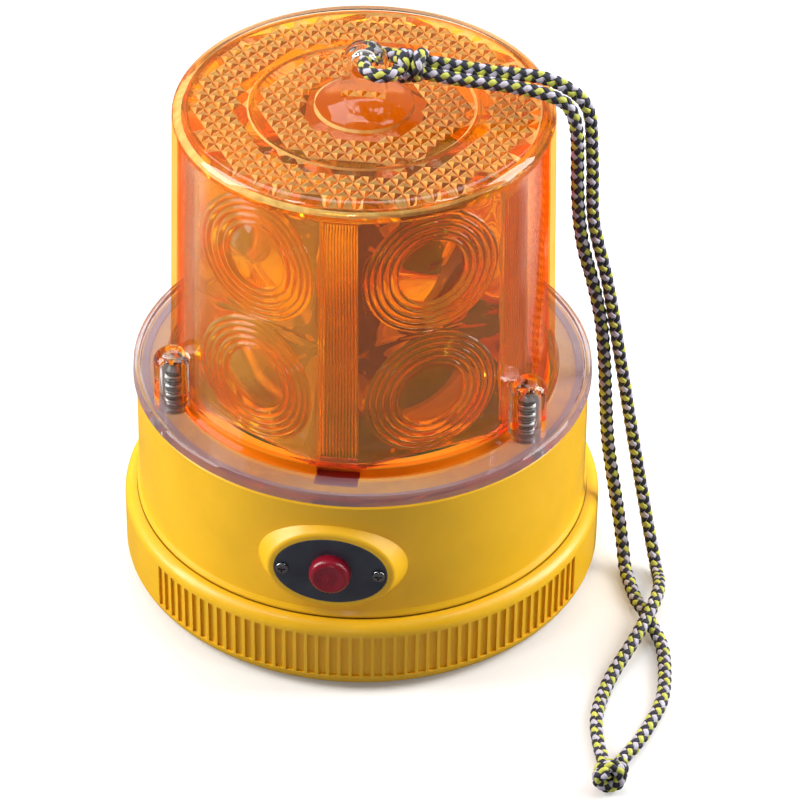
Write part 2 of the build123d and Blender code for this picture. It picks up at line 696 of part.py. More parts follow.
with BuildPart() as led_tower:
    with BuildSketch(Plane.XY.offset(ON_BOARD_Z)):
        Circle(22.4)
    extrude(amount=TOWER_BASE_T)
    with BuildSketch(Plane.XY.offset(58.0)):
        RegularPolygon(radius=TOWER_AP, side_count=6, major_radius=False, rotation=30)
    extrude(amount=TOWER_H)
    with BuildSketch(Plane.XY.offset(56.0)):
        RegularPolygon(radius=TOWER_AP - TOWER_WALL, side_count=6, major_radius=False,
                       rotation=30)
    extrude(amount=TOWER_H, mode=Mode.SUBTRACT)
    with BuildSketch(Plane.XY.offset(56.0)):
        with Locations(*TOWER_SCREW_SPOTS):
            Circle(CLEAR_R)
    extrude(amount=4, mode=Mode.SUBTRACT)
save(led_tower, "led_tower")

save_deck_screws("tower_screws", TOWER_SCREW_SPOTS, head_z=ON_BOARD_Z + TOWER_BASE_T + GAP,
                 head_r=2.7, head_h=1.9, rounding=0.8, shank_h=7.5,
                 slot_l=2.9, slot_z=60.6, slot_depth=1.0)


def outward_plane(radius, az, z):
    """Upright plane that faces outwards at azimuth az."""
    return Plane(origin=polar(radius, az, z), x_dir=(cos(radians(az)), sin(radians(az)), 0),
                 z_dir=polar(1, az))


for number, az in enumerate(LED_AZ, start=1):
    with BuildPart() as led_board:
        with BuildSketch(outward_plane(LED_BOARD_R, az, 93.5)):
            Rectangle(LED_BOARD_W, LED_BOARD_H)
        extrude(amount=LED_BOARD_T)
    save(led_board, f"led_board_{number}")

with BuildPart() as leds:
    for az in LED_AZ:
        for z in LED_Z:
            seat = outward_plane(LED_BOARD_R + LED_BOARD_T + GAP, az, z)
            with BuildSketch(seat):
                RectangleRounded(7.0, 7.0, 0.8)
            extrude(amount=1.2)
            with BuildSketch(seat):
                Circle(LED_LENS_R)
            extrude(amount=2.6)
    # round the outer edges of the LED lenses, not their roots
    fillet(leds.edges().filter_by(GeomType.CIRCLE).filter_by(
        lambda e: abs(e.radius - LED_LENS_R) < 0.01
        and hypot(e.center().X, e.center().Y) > TOWER_AP + 3.5), radius=1.1)
save(leds, "leds")

# ---------------------------------------------------------------- battery holder
HOLDER_X, HOLDER_Y = 35.4, 36.6              # outer half sizes
HOLDER_X_IN, HOLDER_Y_IN = 33.6, 35.0        # inner half sizes
HOLDER_ROOF_Z = 46.2                         # underside of the roof
CELL_R, CELL_L = 17.1, 61.5                  # size D cell
CELL_Z, CELL_Y = 28.5, 17.35
TAB_Y, TAB_Z = 12.0, 37.0

with BuildPart() as battery_holder:
    # tray open downwards
    with BuildSketch(Plane.XY.offset(HOLDER_Z0)):
        RectangleRounded(2 * HOLDER_X, 2 * HOLDER_Y, 4.0)
    extrude(amount=HOLDER_Z1 - HOLDER_Z0)
    with BuildSketch(Plane.XY.offset(HOLDER_Z0)):
        Rectangle(2 * HOLDER_X_IN, 2 * HOLDER_Y_IN)
    extrude(amount=HOLDER_ROOF_Z - HOLDER_Z0, mode=Mode.SUBTRACT)
    # saddles over the cells
    with BuildSketch(Plane.XY.offset(38.0)):
        with GridLocations(36, 0, 2, 1):
            Rectangle(2.0, 70.4)
    extrude(amount=9.0)
    with BuildSketch(Plane.YZ.offset(-32.9)):
        with Locations((-CELL_Y, CELL_Z), (CELL_Y, CELL_Z)):
            Circle(CELL_R + 0.25)
    extrude(amount=65.8, mode=Mode.SUBTRACT)
    # open sides
    with BuildSketch(Plane.XY.offset(13.0)):
        Rectangle(56.0, 90.0)
    extrude(amount=13.5, mode=Mode.SUBTRACT)
    # screw holes, tab slots
    with BuildSketch(Plane.XY.offset(40.0)):
        with GridLocations(*HOLDER_SCREW_PITCH, 2, 2):
            Circle(CLEAR_R)
    extrude(amount=12, mode=Mode.SUBTRACT)
    with BuildSketch(Plane.YZ.offset(-36.0)):
        with Locations((-TAB_Y, TAB_Z), (TAB_Y, TAB_Z)):
            Rectangle(4.2, 0.8)
    extrude(amount=2.6, mode=Mode.SUBTRACT)
save(battery_holder, "battery_holder")

with BuildPart() as holder_screws:
    with BuildSketch(Plane.XY.offset(HOLDER_ROOF_Z - 0.03)):
        with GridLocations(*HOLDER_SCREW_PITCH, 2, 2):
            Circle(2.8)
    extrude(amount=-2.0)
    fillet(holder_screws.edges().group_by(Axis.Z)[0], radius=0.9)
    with BuildSketch(Plane.XY.offset(HOLDER_ROOF_Z - 0.1)):
        with GridLocations(*HOLDER_SCREW_PITCH, 2, 2):
            Circle(SHANK_R)
    extrude(amount=6.0)
    with BuildSketch(Plane.XY.offset(44.1)):
        with GridLocations(*HOLDER_SCREW_PITCH, 2, 2):
            cross(3.0, SLOT_W)
    extrude(amount=1.1, mode=Mode.SUBTRACT)
save(holder_screws, "holder_screws")

# ---------------------------------------------------------------- cells and contacts
# distance from the cell's flat end, radius
CELL_OUTLINE = [
    (0, 0), (0, 13.0), (0.5, 13.6), (0.5, CELL_R - 1.0), (1.2, CELL_R), (58.6, CELL_R),
    (59.6, CELL_R - 1.2), (59.8, 5.2), (60.0, 4.75), (61.2, 4.75), (CELL_L, 4.3), (CELL_L, 0)]
CELL_END_X = 28.5        # flat end, on either side
SPRING_X = 32.5
CONTACT_X = 33.54        # outer face of the contact plates, on either side
CONTACT_T = 0.5

# The front cell's flat end is on the left, the rear cell's on the right;
# way is 1 for front and -1 for rear.
for number, way in ((1, 1), (2, -1)):
    cell_y = -CELL_Y * way
    with BuildPart() as battery_cell:
        with BuildSketch(Plane(origin=(0, cell_y, CELL_Z), x_dir=(1, 0, 0), z_dir=(0, -1, 0))):
            with BuildLine():
                Polyline(*[(way * (along - CELL_END_X), radius)
                           for along, radius in CELL_OUTLINE], close=True)
            make_face()
        revolve(axis=Axis((0, cell_y, CELL_Z), (1, 0, 0)))
    save(battery_cell, f"battery_cell_{number}")

    save_coil_spring(f"contact_spring_{number}", pitch=1.15, height=3.45, radius=6.0,
                     center=(-SPRING_X * way, cell_y, CELL_Z), direction=(way, 0, 0),
                     wire_r=0.42)

# left-hand contact plates, each with a tab through the holder
for name, side in (("positive_terminal", 1), ("negative_terminal", -1)):
    with BuildPart() as terminal:
        with BuildSketch(Plane.YZ.offset(-CONTACT_X)):
            with Locations((CELL_Y * side, CELL_Z)):
                Rectangle(16.0, 18.0)
        extrude(amount=CONTACT_T)
        with BuildSketch(Plane.XY.offset(TAB_Z - CONTACT_T / 2)):
            with Locations((-35.3, TAB_Y * side)):
                Rectangle(4.2, 4.0)
        extrude(amount=CONTACT_T)
    save(terminal, name)

with BuildPart() as bridge_plate:
    with BuildSketch(Plane.YZ.offset(CONTACT_X - CONTACT_T)):
        with Locations((0, CELL_Z)):
            RectangleRounded(52.0, 18.0, 2.0)
    extrude(amount=CONTACT_T)
save(bridge_plate, "bridge_plate")

# ---------------------------------------------------------------- wires
# Leads end just under the board. Stations are x, y, z for the +Y battery lead and
# the +X switch lead; the other of each pair is mirrored.
LEAD_END_Z = BOARD_Z - 0.05
BATTERY_LEAD = [(-36.9, 12.0, 38.0), (-37.6, 9.5, 43.0), (-38.0, 3.4, 48.6),
                (-38.0, 2.2, LEAD_END_Z)]
SWITCH_LEAD = [(3.2, -39.7, 38.36), (2.9, -39.5, 44.0), (2.3, -38.9, 49.0),
               (1.8, -38.1, LEAD_END_Z)]
UPRIGHT_ENDS = ((0, 0, 1), (0, 0, 1))

for name, side in (("battery_lead_red", 1), ("battery_lead_black", -1)):
    with BuildPart() as battery_lead:
        with BuildLine() as lead_path:
            Spline(*[(x, y * side, z) for x, y, z in BATTERY_LEAD], tangents=UPRIGHT_ENDS)
        with BuildSketch(start_plane(lead_path.line)):
            Circle(0.7)
        sweep(path=lead_path.line)
    save(battery_lead, name)

with BuildPart() as switch_leads:
    for side in (-1, 1):
        with BuildLine() as lead_path:
            Spline(*[(x * side, y, z) for x, y, z in SWITCH_LEAD], tangents=UPRIGHT_ENDS)
        with BuildSketch(start_plane(lead_path.line)):
            Circle(0.6)
        sweep(path=lead_path.line)
save(switch_leads, "switch_leads")

# ---------------------------------------------------------------- carrying cord
# Two strands leave the knot beside the eyelet, lie across the top, hang over the edge
# and end in a knot on the ground. Stations are x, y, z.
CORD_R = 1.72
LOOP_R_X, LOOP_R_Y = 4.3, 5.0
STRAND_A = [
    (12.5, -0.4, 142.3), (22.5, -0.2, 140.9), (29.5, 0.6, 139.9), (36.6, 1.2, 138.9),
    (43.7, 1.6, 137.2), (47.6, 2.0, 135.0), (49.6, 2.4, 131.4), (50.6, 3.0, 126.0),
    (51.0, 3.4, 118.0), (51.2, 3.3, 112.9), (52.1, 3.2, 101.5), (53.6, 3.2, 92.8),
    (56.0, 3.3, 84.0), (58.6, 3.2, 72.3), (60.0, 3.0, 60.4), (60.9, 2.7, 48.3),
    (62.0, 2.3, 36.0), (64.0, 1.6, 23.6), (66.2, 0.2, 12.2), (67.6, -2.4, 5.0),
    (68.6, -6.4, 2.1), (70.4, -12.4, 1.8), (72.3, -18.3, 1.9), (74.8, -23.6, 2.6),
    (77.2, -28.6, 2.2), (79.9, -35.0, 1.8), (81.4, -46.0, 1.8), (81.3, -55.2, 1.8),
    (79.5, -62.8, 1.8), (76.6, -71.2, 1.8), (73.4, -78.2, 2.2), (71.6, -84.0, 3.4)]
STRAND_B = [
    (12.5, 2.2, 143.6), (29.5, 3.8, 141.2), (43.7, 5.2, 139.2), (52.2, 5.2, 133.2),
    (54.4, 4.3, 120.0), (55.5, 3.8, 101.5), (59.6, 3.8, 84.1), (64.0, 3.5, 60.4),
    (68.4, 3.2, 36.1), (73.2, 1.4, 12.2), (76.4, -5.4, 2.4), (77.8, -17.4, 5.2),
    (74.0, -33.2, 4.2), (68.0, -49.6, 1.8), (66.0, -64.6, 1.8), (68.8, -79.4, 2.4),
    (70.4, -84.0, 3.6)]

with BuildPart() as lanyard_cord:
    # knots
    with Locations((10.4, 0.9, EYE_Z - 0.4)):
        Sphere(4.4)
    with Locations((71.0, -86.6, 4.9)):
        Sphere(4.8)
    for strand in (STRAND_B, STRAND_A):
        with BuildLine() as strand_path:
            Spline(*strand)
        with BuildSketch(start_plane(strand_path.line)):
            Circle(CORD_R)
        sweep(path=strand_path.line)
    # loop through the eyelet
    with BuildLine() as loop_path:
        Spline(*[(LOOP_R_X - LOOP_R_X * cos(radians(turn)), LOOP_R_Y * sin(radians(turn)), EYE_Z)
                 for turn in range(0, 360, 20)], periodic=True)
    with BuildSketch(start_plane(loop_path.line)):
        Circle(CORD_R)
    sweep(path=loop_path.line)
save(lanyard_cord, "lanyard_cord")
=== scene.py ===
# A round battery lamp: yellow housing, clear cover, amber lens and a braided cord.
# It stands on the floor at z = 0 with its axis along +Z. Its front faces -Y, and the cord
# leaves the top towards +X and runs down to the floor.
# New meshes are laid out in millimetres; materials, lights and camera use metres.
import json
import math

import bmesh
import bpy
import numpy as np
from mathutils import Matrix, Vector
from mathutils.geometry import delaunay_2d_cdt


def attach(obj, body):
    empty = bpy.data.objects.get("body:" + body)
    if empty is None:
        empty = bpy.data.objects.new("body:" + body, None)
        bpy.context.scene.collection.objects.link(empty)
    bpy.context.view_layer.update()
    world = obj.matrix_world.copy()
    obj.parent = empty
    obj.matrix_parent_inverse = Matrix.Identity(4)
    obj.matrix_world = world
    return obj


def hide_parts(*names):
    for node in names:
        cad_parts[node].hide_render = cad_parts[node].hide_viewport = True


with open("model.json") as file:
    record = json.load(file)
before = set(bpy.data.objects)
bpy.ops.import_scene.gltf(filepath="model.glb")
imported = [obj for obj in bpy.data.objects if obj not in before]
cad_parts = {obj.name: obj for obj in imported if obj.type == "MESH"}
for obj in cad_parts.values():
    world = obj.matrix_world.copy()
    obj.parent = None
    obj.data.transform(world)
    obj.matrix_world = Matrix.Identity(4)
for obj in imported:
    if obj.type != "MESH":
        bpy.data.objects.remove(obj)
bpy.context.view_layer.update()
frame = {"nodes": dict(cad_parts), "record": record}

scene = bpy.context.scene
MM = 0.001
BLACK = (0, 0, 0)
WHITE = (1, 1, 1)


# ------------------------------------------------------------------ node helpers
class Nodes:
    """Builds shader nodes in a node tree. Arguments may be sockets or plain values."""

    def __init__(self, tree):
        self.tree = tree
        self.object_coords = None

    def node(self, kind, inputs=None, **props):
        made = self.tree.nodes.new(kind)
        for key, value in props.items():
            setattr(made, key, value)
        for key, value in (inputs or {}).items():
            self.put(made.inputs[key], value)
        return made

    def put(self, socket, value):
        if isinstance(value, bpy.types.NodeSocket):
            self.tree.links.new(value, socket)
        elif isinstance(value, (tuple, list)) and len(value) == 3 and socket.type == "RGBA":
            socket.default_value = (*value, 1.0)
        else:
            socket.default_value = value

    @property
    def obj(self):
        """Object coordinates, from one shared node."""
        if self.object_coords is None:
            self.object_coords = self.node("ShaderNodeTexCoord").outputs["Object"]
        return self.object_coords

    def scaled(self, vector, scale):
        return self.node("ShaderNodeMapping", {0: vector, "Scale": scale}).outputs[0]

    def noise(self, scale, detail=3.0, rough=0.55, vector=None, distortion=0.0):
        """Noise with `scale` features per unit of the vector, which is metres by default."""
        return self.node("ShaderNodeTexNoise", {
            "Vector": vector or self.obj, "Scale": scale, "Detail": detail,
            "Roughness": rough, "Distortion": distortion}).outputs[0]

    def voronoi(self, scale, randomness=1.0):
        """Distance to the nearest cell centre."""
        return self.node("ShaderNodeTexVoronoi", {
            "Vector": self.obj, "Scale": scale, "Randomness": randomness}).outputs["Distance"]

    def math(self, operation, a, b=0.0, c=0.0, clamp=False):
        return self.node("ShaderNodeMath", {0: a, 1: b, 2: c},
                         operation=operation, use_clamp=clamp).outputs[0]

    def add(self, a, b):
        return self.math("ADD", a, b)

    def mul(self, a, b, clamp=False):
        return self.math("MULTIPLY", a, b, clamp=clamp)

    def dot(self, a, b):
        return self.node("ShaderNodeVectorMath", {0: a, 1: b},
                         operation="DOT_PRODUCT").outputs["Value"]

    def ramp(self, value, start, end, low=0, high=1, smooth=False):
        """Goes from low to high while the value goes from start to end."""
        return self.node("ShaderNodeMapRange", {
            "Value": value, "From Min": start, "From Max": end, "To Min": low, "To Max": high},
            interpolation_type="SMOOTHSTEP" if smooth else "LINEAR").outputs[0]

    def ramp_down(self, value, start, end, smooth=False):
        return self.ramp(value, start, end, low=1, high=0, smooth=smooth)

    def patches(self, scale, start=0.3, end=0.7, low=0, high=1, **noise):
        """Noise spread over the range low to high."""
        return self.ramp(self.noise(scale, **noise), start, end, low, high)

    def mix(self, factor, first, second):
        made = self.node("ShaderNodeMix", data_type="RGBA", blend_type="MIX")
        self.put(made.inputs["Factor"], factor)
        self.put(made.inputs[6], first)
        self.put(made.inputs[7], second)
        return made.outputs[2]

    def mottle(self, scale, first, second, start=0.3, end=0.7, **noise):
        """Patches of two colours."""
        return self.mix(self.patches(scale, start, end, **noise), first, second)

    def xyz(self, vector=None):
        return self.node("ShaderNodeSeparateXYZ", {0: vector or self.obj}).outputs

    def radius(self, x, y):
        """Distance from the Z axis."""
        return self.math("SQRT", self.add(self.mul(x, x), self.mul(y, y)))

    def facing(self, blend):
        return self.node("ShaderNodeLayerWeight", {"Blend": blend}).outputs["Facing"]

    def bump(self, height, strength, depth, normal=None):
        inputs = {"Height": height, "Strength": strength, "Distance": depth}
        if normal is not None:
            inputs["Normal"] = normal
        return self.node("ShaderNodeBump", inputs).outputs[0]

    def edge(self, radius, start=0.02, end=0.25):
        """1 along sharp or tightly rounded edges, 0 elsewhere."""
        bevel = self.node("ShaderNodeBevel", {"Radius": radius}, samples=4).outputs[0]
        normal = self.node("ShaderNodeNewGeometry").outputs["Normal"]
        return self.ramp(self.math("SUBTRACT", 1.0, self.dot(bevel, normal)), start, end)

    def bsdf(self, kind="Principled", **values):
        """A surface shader; underscores in the argument names stand for spaces."""
        inputs = {key.replace("_", " "): value for key, value in values.items()}
        return self.node("ShaderNodeBsdf" + kind, inputs).outputs[0]

    def layer(self, factor, under, over):
        return self.node("ShaderNodeMixShader", {0: factor, 1: under, 2: over}).outputs[0]


class Mat(Nodes):
    """A node-based material."""

    def __init__(self, name):
        self.material = bpy.data.materials.new(name)
        self.material.use_nodes = True
        super().__init__(self.material.node_tree)
        self.tree.nodes.clear()
        self.out = self.node("ShaderNodeOutputMaterial")

    def done(self, shader):
        self.put(self.out.inputs["Surface"], shader)
        return self.material


def shade(colour, factor, lift=0.0):
    """A darker or lighter version of a colour."""
    return tuple(min(1.0, c * factor + lift) for c in colour)


# ------------------------------------------------------------------ opaque materials
def moulded(name, base, rough, grain, grain_bump, drift, subsurface=0.0, coat=0.0,
            wear=0.0, worn=None, dust=0.0):
    """Moulded plastic: fine grain, slow colour drift, rubbed edges and a little dust."""
    m = Mat(name)
    fine = m.noise(grain, detail=4, rough=0.6)
    colour = m.mottle(45, shade(base, 1 - drift), shade(base, 1 + drift), 0.35, 0.65)
    smears = m.patches(160, detail=4, rough=0.6)
    roughness = m.add(rough - 0.07, m.mul(smears, 0.12))
    if wear:
        broken = m.patches(420, 0.35, 0.6, low=0.2)
        rubbed = m.mul(m.edge(radius=0.0006), m.mul(broken, wear))
        colour = m.mix(rubbed, colour, worn)
    if dust:
        # dust lies on faces that look up
        normal = m.node("ShaderNodeNewGeometry").outputs["Normal"]
        specks = m.patches(900, 0.5, 0.75, high=dust, detail=5, rough=0.7)
        film = m.mul(m.ramp(m.xyz(normal)[2], 0.5, 1.0), specks)
        colour = m.mix(film, colour, (0.75, 0.70, 0.62))
        roughness = m.add(roughness, m.mul(film, 0.3))
    normal = m.bump(fine, strength=grain_bump, depth=0.00012)
    normal = m.bump(m.noise(230, detail=2), strength=0.05, depth=0.0004, normal=normal)
    extras = {}
    if subsurface:
        extras.update(Subsurface_Weight=subsurface, Subsurface_Radius=(1.0, 0.55, 0.15),
                      Subsurface_Scale=0.0012)
    if coat:
        extras.update(Coat_Weight=coat, Coat_Roughness=0.12)
    return m.done(m.bsdf(Base_Color=colour, Roughness=roughness, Normal=normal, IOR=1.5,
                         **extras))


def steel(name, base, rough, turning=(900, 900, 90), turning_bump=0.25, stain=0.12,
          stain_colour=(0.32, 0.27, 0.20)):
    """Plated or plain metal: turning marks, a patchy film and a little staining."""
    m = Mat(name)
    marks = m.noise(1.0, rough=0.6, vector=m.scaled(m.obj, turning))
    spots = m.noise(700, detail=5, rough=0.7)
    film = m.noise(140)
    colour = m.mix(m.ramp(film, 0.3, 0.7, high=0.5), base, shade(base, 0.82))
    colour = m.mix(m.ramp(spots, 0.58, 0.75, high=stain), colour, stain_colour)
    roughness = m.add(rough, m.mul(m.ramp(film, 0.3, 0.7, low=-0.06, high=0.12), 1.0))
    return m.done(m.bsdf(Base_Color=colour, Metallic=1.0, Roughness=roughness,
                         Normal=m.bump(marks, strength=turning_bump, depth=0.00006)))


def threaded_steel():
    """Plated machine screw: rounded thread crests with painted shade in the roots, drawn by
    height.
    """
    pitch = 0.0009
    shank_start, shank_end = 0.0560, 0.0564   # heights over which the thread relief comes in
    m = Mat("cover_screw_thread")
    z = m.xyz()[2]
    turn = m.math("FRACT", m.math("DIVIDE", z, pitch))
    crest = m.math("SINE", m.mul(turn, math.pi))
    shank = m.ramp(z, shank_start, shank_end)
    stain = m.noise(700, detail=4, rough=0.6)
    # painted shade: near black in the thread roots, plain metal colour on the crests
    colour = m.mix(crest, (0.07, 0.065, 0.06), (0.46, 0.45, 0.45))
    colour = m.mix(m.ramp(stain, 0.45, 0.75, high=0.5), colour, (0.30, 0.27, 0.22))
    normal = m.bump(m.mul(crest, shank), strength=0.9, depth=0.00022)
    normal = m.bump(m.noise(2600), strength=0.10, depth=0.00004, normal=normal)
    return m.done(m.bsdf(Base_Color=colour, Roughness=m.add(0.26, m.mul(stain, 0.2)),
                         Normal=normal, Metallic=0.9))


def board(name, mask, rough=0.35):
    """Printed circuit board: solder mask over tracks, with gold rings."""
    m = Mat(name)
    bricks = m.node("ShaderNodeTexBrick", {
        "Vector": m.scaled(m.obj, (1, 1, 1)), "Scale": 260.0, "Mortar Size": 0.10,
        "Color1": BLACK, "Color2": BLACK, "Mortar": WHITE}, offset=0.5)
    tracks = m.mul(bricks.outputs[0], m.patches(55, 0.45, 0.5, detail=0))
    colour = m.mix(m.mul(tracks, 0.8), mask, shade(mask, 1.45, lift=0.01))
    pads = m.ramp_down(m.voronoi(210, randomness=0.8), 0.13, 0.16)
    colour = m.mix(m.mul(pads, 0.9), colour, (0.78, 0.55, 0.20))
    normal = m.bump(m.add(tracks, pads), strength=0.35, depth=0.00005)
    normal = m.bump(m.noise(1500), strength=0.05, depth=0.00005, normal=normal)
    return m.done(m.bsdf(Base_Color=colour, Roughness=m.add(rough, m.mul(m.noise(200), 0.12)),
                         Normal=normal, Metallic=m.mul(pads, 0.7)))


def cell_jacket():
    """Foil-wrapped dry cell along X: dark body, warm band at the +X end, bare metal ends."""
    band_start, band_end = 0.0116, 0.0119
    cap_start, cap_end = 0.0296, 0.0298
    m = Mat("cell_jacket")
    x = m.xyz()[0]
    from_middle = m.math("ABSOLUTE", x)
    band = m.ramp(x, band_start, band_end)
    body = m.mottle(70, (0.012, 0.013, 0.015), (0.03, 0.03, 0.033))
    warm = m.mottle(90, (0.62, 0.30, 0.10), (0.72, 0.38, 0.14))
    cap = m.ramp(from_middle, cap_start, cap_end)
    colour = m.mix(cap, m.mix(band, body, warm), (0.72, 0.71, 0.69))
    return m.done(m.bsdf(
        Base_Color=colour, Roughness=m.mix(cap, (0.32,) * 3, (0.25,) * 3),
        Metallic=m.math("MAXIMUM", cap, m.mul(band, 0.85)),
        Normal=m.bump(m.noise(500), strength=0.08, depth=0.0001),
        Coat_Weight=0.4, Coat_Roughness=0.1))


def cord_yarn(name, dark, light, sheen):
    """Filament yarn: fine fibres along the yarn, fuzz and a slow colour change."""
    m = Mat(name)
    uv = m.node("ShaderNodeTexCoord").outputs["UV"]
    fibres = m.noise(1.0, rough=0.7, vector=m.scaled(uv, (0.7, 26.0, 1.0)))
    slubs = m.noise(1.0, detail=2, rough=0.5, vector=m.scaled(uv, (0.35, 1.0, 1.0)))
    colour = m.mix(m.ramp(fibres, 0.35, 0.65), dark, light)
    colour = m.mix(m.ramp(slubs, 0.35, 0.65, high=0.35), colour, shade(dark, 0.6))
    return m.done(m.bsdf(
        Base_Color=colour, Roughness=m.ramp(fibres, 0.2, 0.8, low=0.5, high=0.8),
        Normal=m.bump(fibres, strength=0.55, depth=0.00012),
        Sheen_Weight=sheen, Sheen_Roughness=0.4, Sheen_Tint=light))


def rubber(name, base, rough):
    """Matt rubber with a pale bloom."""
    m = Mat(name)
    fine = m.noise(1800, detail=5, rough=0.7)
    bloom = m.noise(70, detail=5, rough=0.65)
    colour = m.mix(m.ramp(bloom, 0.42, 0.75, high=0.55), base, (0.075, 0.072, 0.068))
    return m.done(m.bsdf(
        Base_Color=colour, Roughness=m.ramp(bloom, 0.3, 0.7, low=rough - 0.08, high=rough + 0.1),
        Normal=m.bump(fine, strength=0.18, depth=0.00015), Specular_IOR_Level=0.35))


def ferrite():
    """Dark pitted ceramic."""
    m = Mat("ferrite_ceramic")
    pits = m.voronoi(900)
    colour = m.mottle(300, (0.030, 0.029, 0.030), (0.075, 0.072, 0.070), 0.35, 0.65, detail=4)
    return m.done(m.bsdf(Base_Color=colour, Roughness=0.5, Metallic=0.25,
                         Normal=m.bump(pits, strength=0.2, depth=0.0001)))


def led_body():
    """Diode body: yellow seen face-on, pale towards its silhouette."""
    m = Mat("led_white")
    colour = m.mix(m.facing(blend=0.4), (0.80, 0.74, 0.50), (0.93, 0.93, 0.92))
    return m.done(m.bsdf(
        Base_Color=colour, Roughness=m.patches(300, low=0.12, high=0.24),
        Normal=m.bump(m.noise(900), strength=0.06, depth=0.0001),
        Coat_Weight=0.7, Coat_Roughness=0.05, Subsurface_Weight=0.3, Subsurface_Scale=0.001))


def window_plastic():
    """Deep red glossy window, with a painted reflection that makes its front lip paler."""
    lip_front, lip_back = -0.0500, -0.0494
    m = Mat("window_plastic")
    tone = m.mottle(300, (0.110, 0.012, 0.022), (0.150, 0.018, 0.030))
    # painted reflection: the front lip is mixed towards pale lilac
    lip = m.ramp_down(m.xyz()[1], lip_front, lip_back, smooth=True)
    return m.done(m.bsdf(
        Base_Color=m.mix(m.mul(lip, 0.75), tone, (0.36, 0.20, 0.27)),
        Roughness=m.patches(240, low=0.10, high=0.2),
        Normal=m.bump(m.noise(500, detail=2), strength=0.04, depth=0.0002),
        Coat_Weight=0.6, Coat_Roughness=0.04))


def plate_paint():
    """Slate blue orange-peel paint, with bare metal showing faintly on the edges."""
    m = Mat("plate_plastic")
    peel = m.noise(950, detail=2, rough=0.5)
    colour = m.mottle(160, (0.026, 0.032, 0.052), (0.044, 0.052, 0.078), detail=4)
    rubbed = m.mul(m.edge(radius=0.00035, start=0.01, end=0.2),
                   m.patches(700, 0.35, 0.6, low=0.15, high=0.8))
    return m.done(m.bsdf(
        Base_Color=m.mix(rubbed, colour, (0.30, 0.31, 0.34)),
        Roughness=m.patches(260, low=0.30, high=0.42),
        Normal=m.bump(peel, strength=0.16, depth=0.00012),
        Coat_Weight=0.25, Coat_Roughness=0.2))


# ------------------------------------------------------------------ clear materials
# Ranges in metres over which the wall masks of the clear pieces come in or go out.
WALL_FOOT = (0.0592, 0.0605)      # height, coming in
WALL_HEAD = (0.1296, 0.1310)      # height, going out
WALL_OUTSIDE = (0.0478, 0.0482)   # distance from the axis, going out
TINT_INSIDE = (0.036, 0.043)      # distance from the axis, coming in
SEEN_INSIDE = (0.0405, 0.0425)    # distance from the axis, coming in


def silhouette(m, start, end, strength, inside):
    """Mask of the wall where it turns edge-on, and the height it was made with."""
    x, y, z = m.xyz()
    radius = m.radius(x, y)
    mask = m.mul(m.ramp(m.facing(blend=0.5), start, end, high=strength, smooth=True),
                 m.ramp(z, *WALL_FOOT))
    mask = m.mul(mask, m.ramp_down(radius, *WALL_OUTSIDE))
    return m.mul(mask, m.ramp(radius, *inside)), z


def glass(m, tint, rough, ripple, wall_tint=None):
    """Clear moulded plastic with faint flow ripple, smudges and hairline scratches."""
    scratch = 0.06
    flow = m.noise(38, detail=2, rough=0.5)
    hairlines = m.noise(1.0, detail=2, rough=0.5, vector=m.scaled(m.obj, (2200, 160, 1400)),
                        distortion=0.6)
    smudges = m.patches(85, 0.52, 0.75, detail=4, rough=0.65)
    roughness = m.add(rough, m.mul(smudges, scratch))
    roughness = m.add(roughness, m.mul(m.ramp(hairlines, 0.66, 0.72), scratch * 0.8))
    colour = m.mottle(60, tint, tuple(c ** 1.08 for c in tint), detail=2)
    if wall_tint:
        mask, _ = silhouette(m, 0.45, 0.75, strength=1, inside=TINT_INSIDE)
        colour = m.mix(mask, colour, wall_tint)
    return m.bsdf(Base_Color=colour, Roughness=roughness, IOR=1.49, Transmission_Weight=1.0,
                  Normal=m.bump(flow, strength=ripple, depth=0.0008))


def see_through_wall(m, shader, start, end, strength, colour):
    """Towards the silhouette the wall lets the view straight through."""
    mask, z = silhouette(m, start, end, strength, inside=SEEN_INSIDE)
    mask = m.mul(mask, m.ramp_down(z, *WALL_HEAD))
    return m.layer(mask, shader, m.bsdf("Transparent", Color=colour))


def pass_light(m, shader, colour):
    """Shadow and diffuse rays cross the plastic without bending."""
    rays = m.node("ShaderNodeLightPath").outputs
    crossing = m.math("MAXIMUM", rays["Is Shadow Ray"], rays["Is Diffuse Ray"])
    return m.layer(crossing, shader, m.bsdf("Transparent", Color=colour))


def hazy_shaded_foot(m, shader):
    """Hazy grey-pink layer on the foot outside the wall: partly haze, partly painted shade that
    darkens the foot, painted lighter towards the back.
    """
    foot_top, foot_radius, strength = 0.0600, 0.0484, 0.42
    # grey-pink haze colour, laid on partly as painted shade over the foot
    haze = (0.20, 0.150, 0.165)
    x, y, z = m.xyz()
    mask = m.mul(m.ramp(z, foot_top, foot_top + 0.0004, low=strength, high=0),
                 m.ramp(m.radius(x, y), foot_radius, foot_radius + 0.0008))
    mask = m.mul(mask, m.patches(160, low=0.85, high=1.1))
    colour = m.mottle(90, haze, shade(haze, 1.15), 0.35, 0.65, detail=2)
    # painted light: the layer turns paler towards the back, where more light falls
    colour = m.mix(m.ramp(y, -0.045, -0.005, smooth=True), colour, shade(haze, 2.1))
    return m.layer(mask, shader, m.bsdf("Diffuse", Color=colour))


# Zones where two clear pieces touch, so that the view crosses without bending:
# lowest z, highest z, inner radius, outer radius, colour, strength, back half only
CONTACTS = (
    (0.1286, 0.1312, -1.0, 0.0448, (1.0, 0.90, 0.78), 1.0, False),
    (0.0545, 0.0600, -1.0, 0.0467, (0.93, 0.62, 0.46), 1.0, False),
    (0.05735, 0.0592, 0.0470, 0.0490, (0.90, 0.50, 0.42), 0.75, False),
    (0.1303, 0.1400, 0.0418, 0.0460, (1.0, 0.80, 0.60), 0.60, True),
)


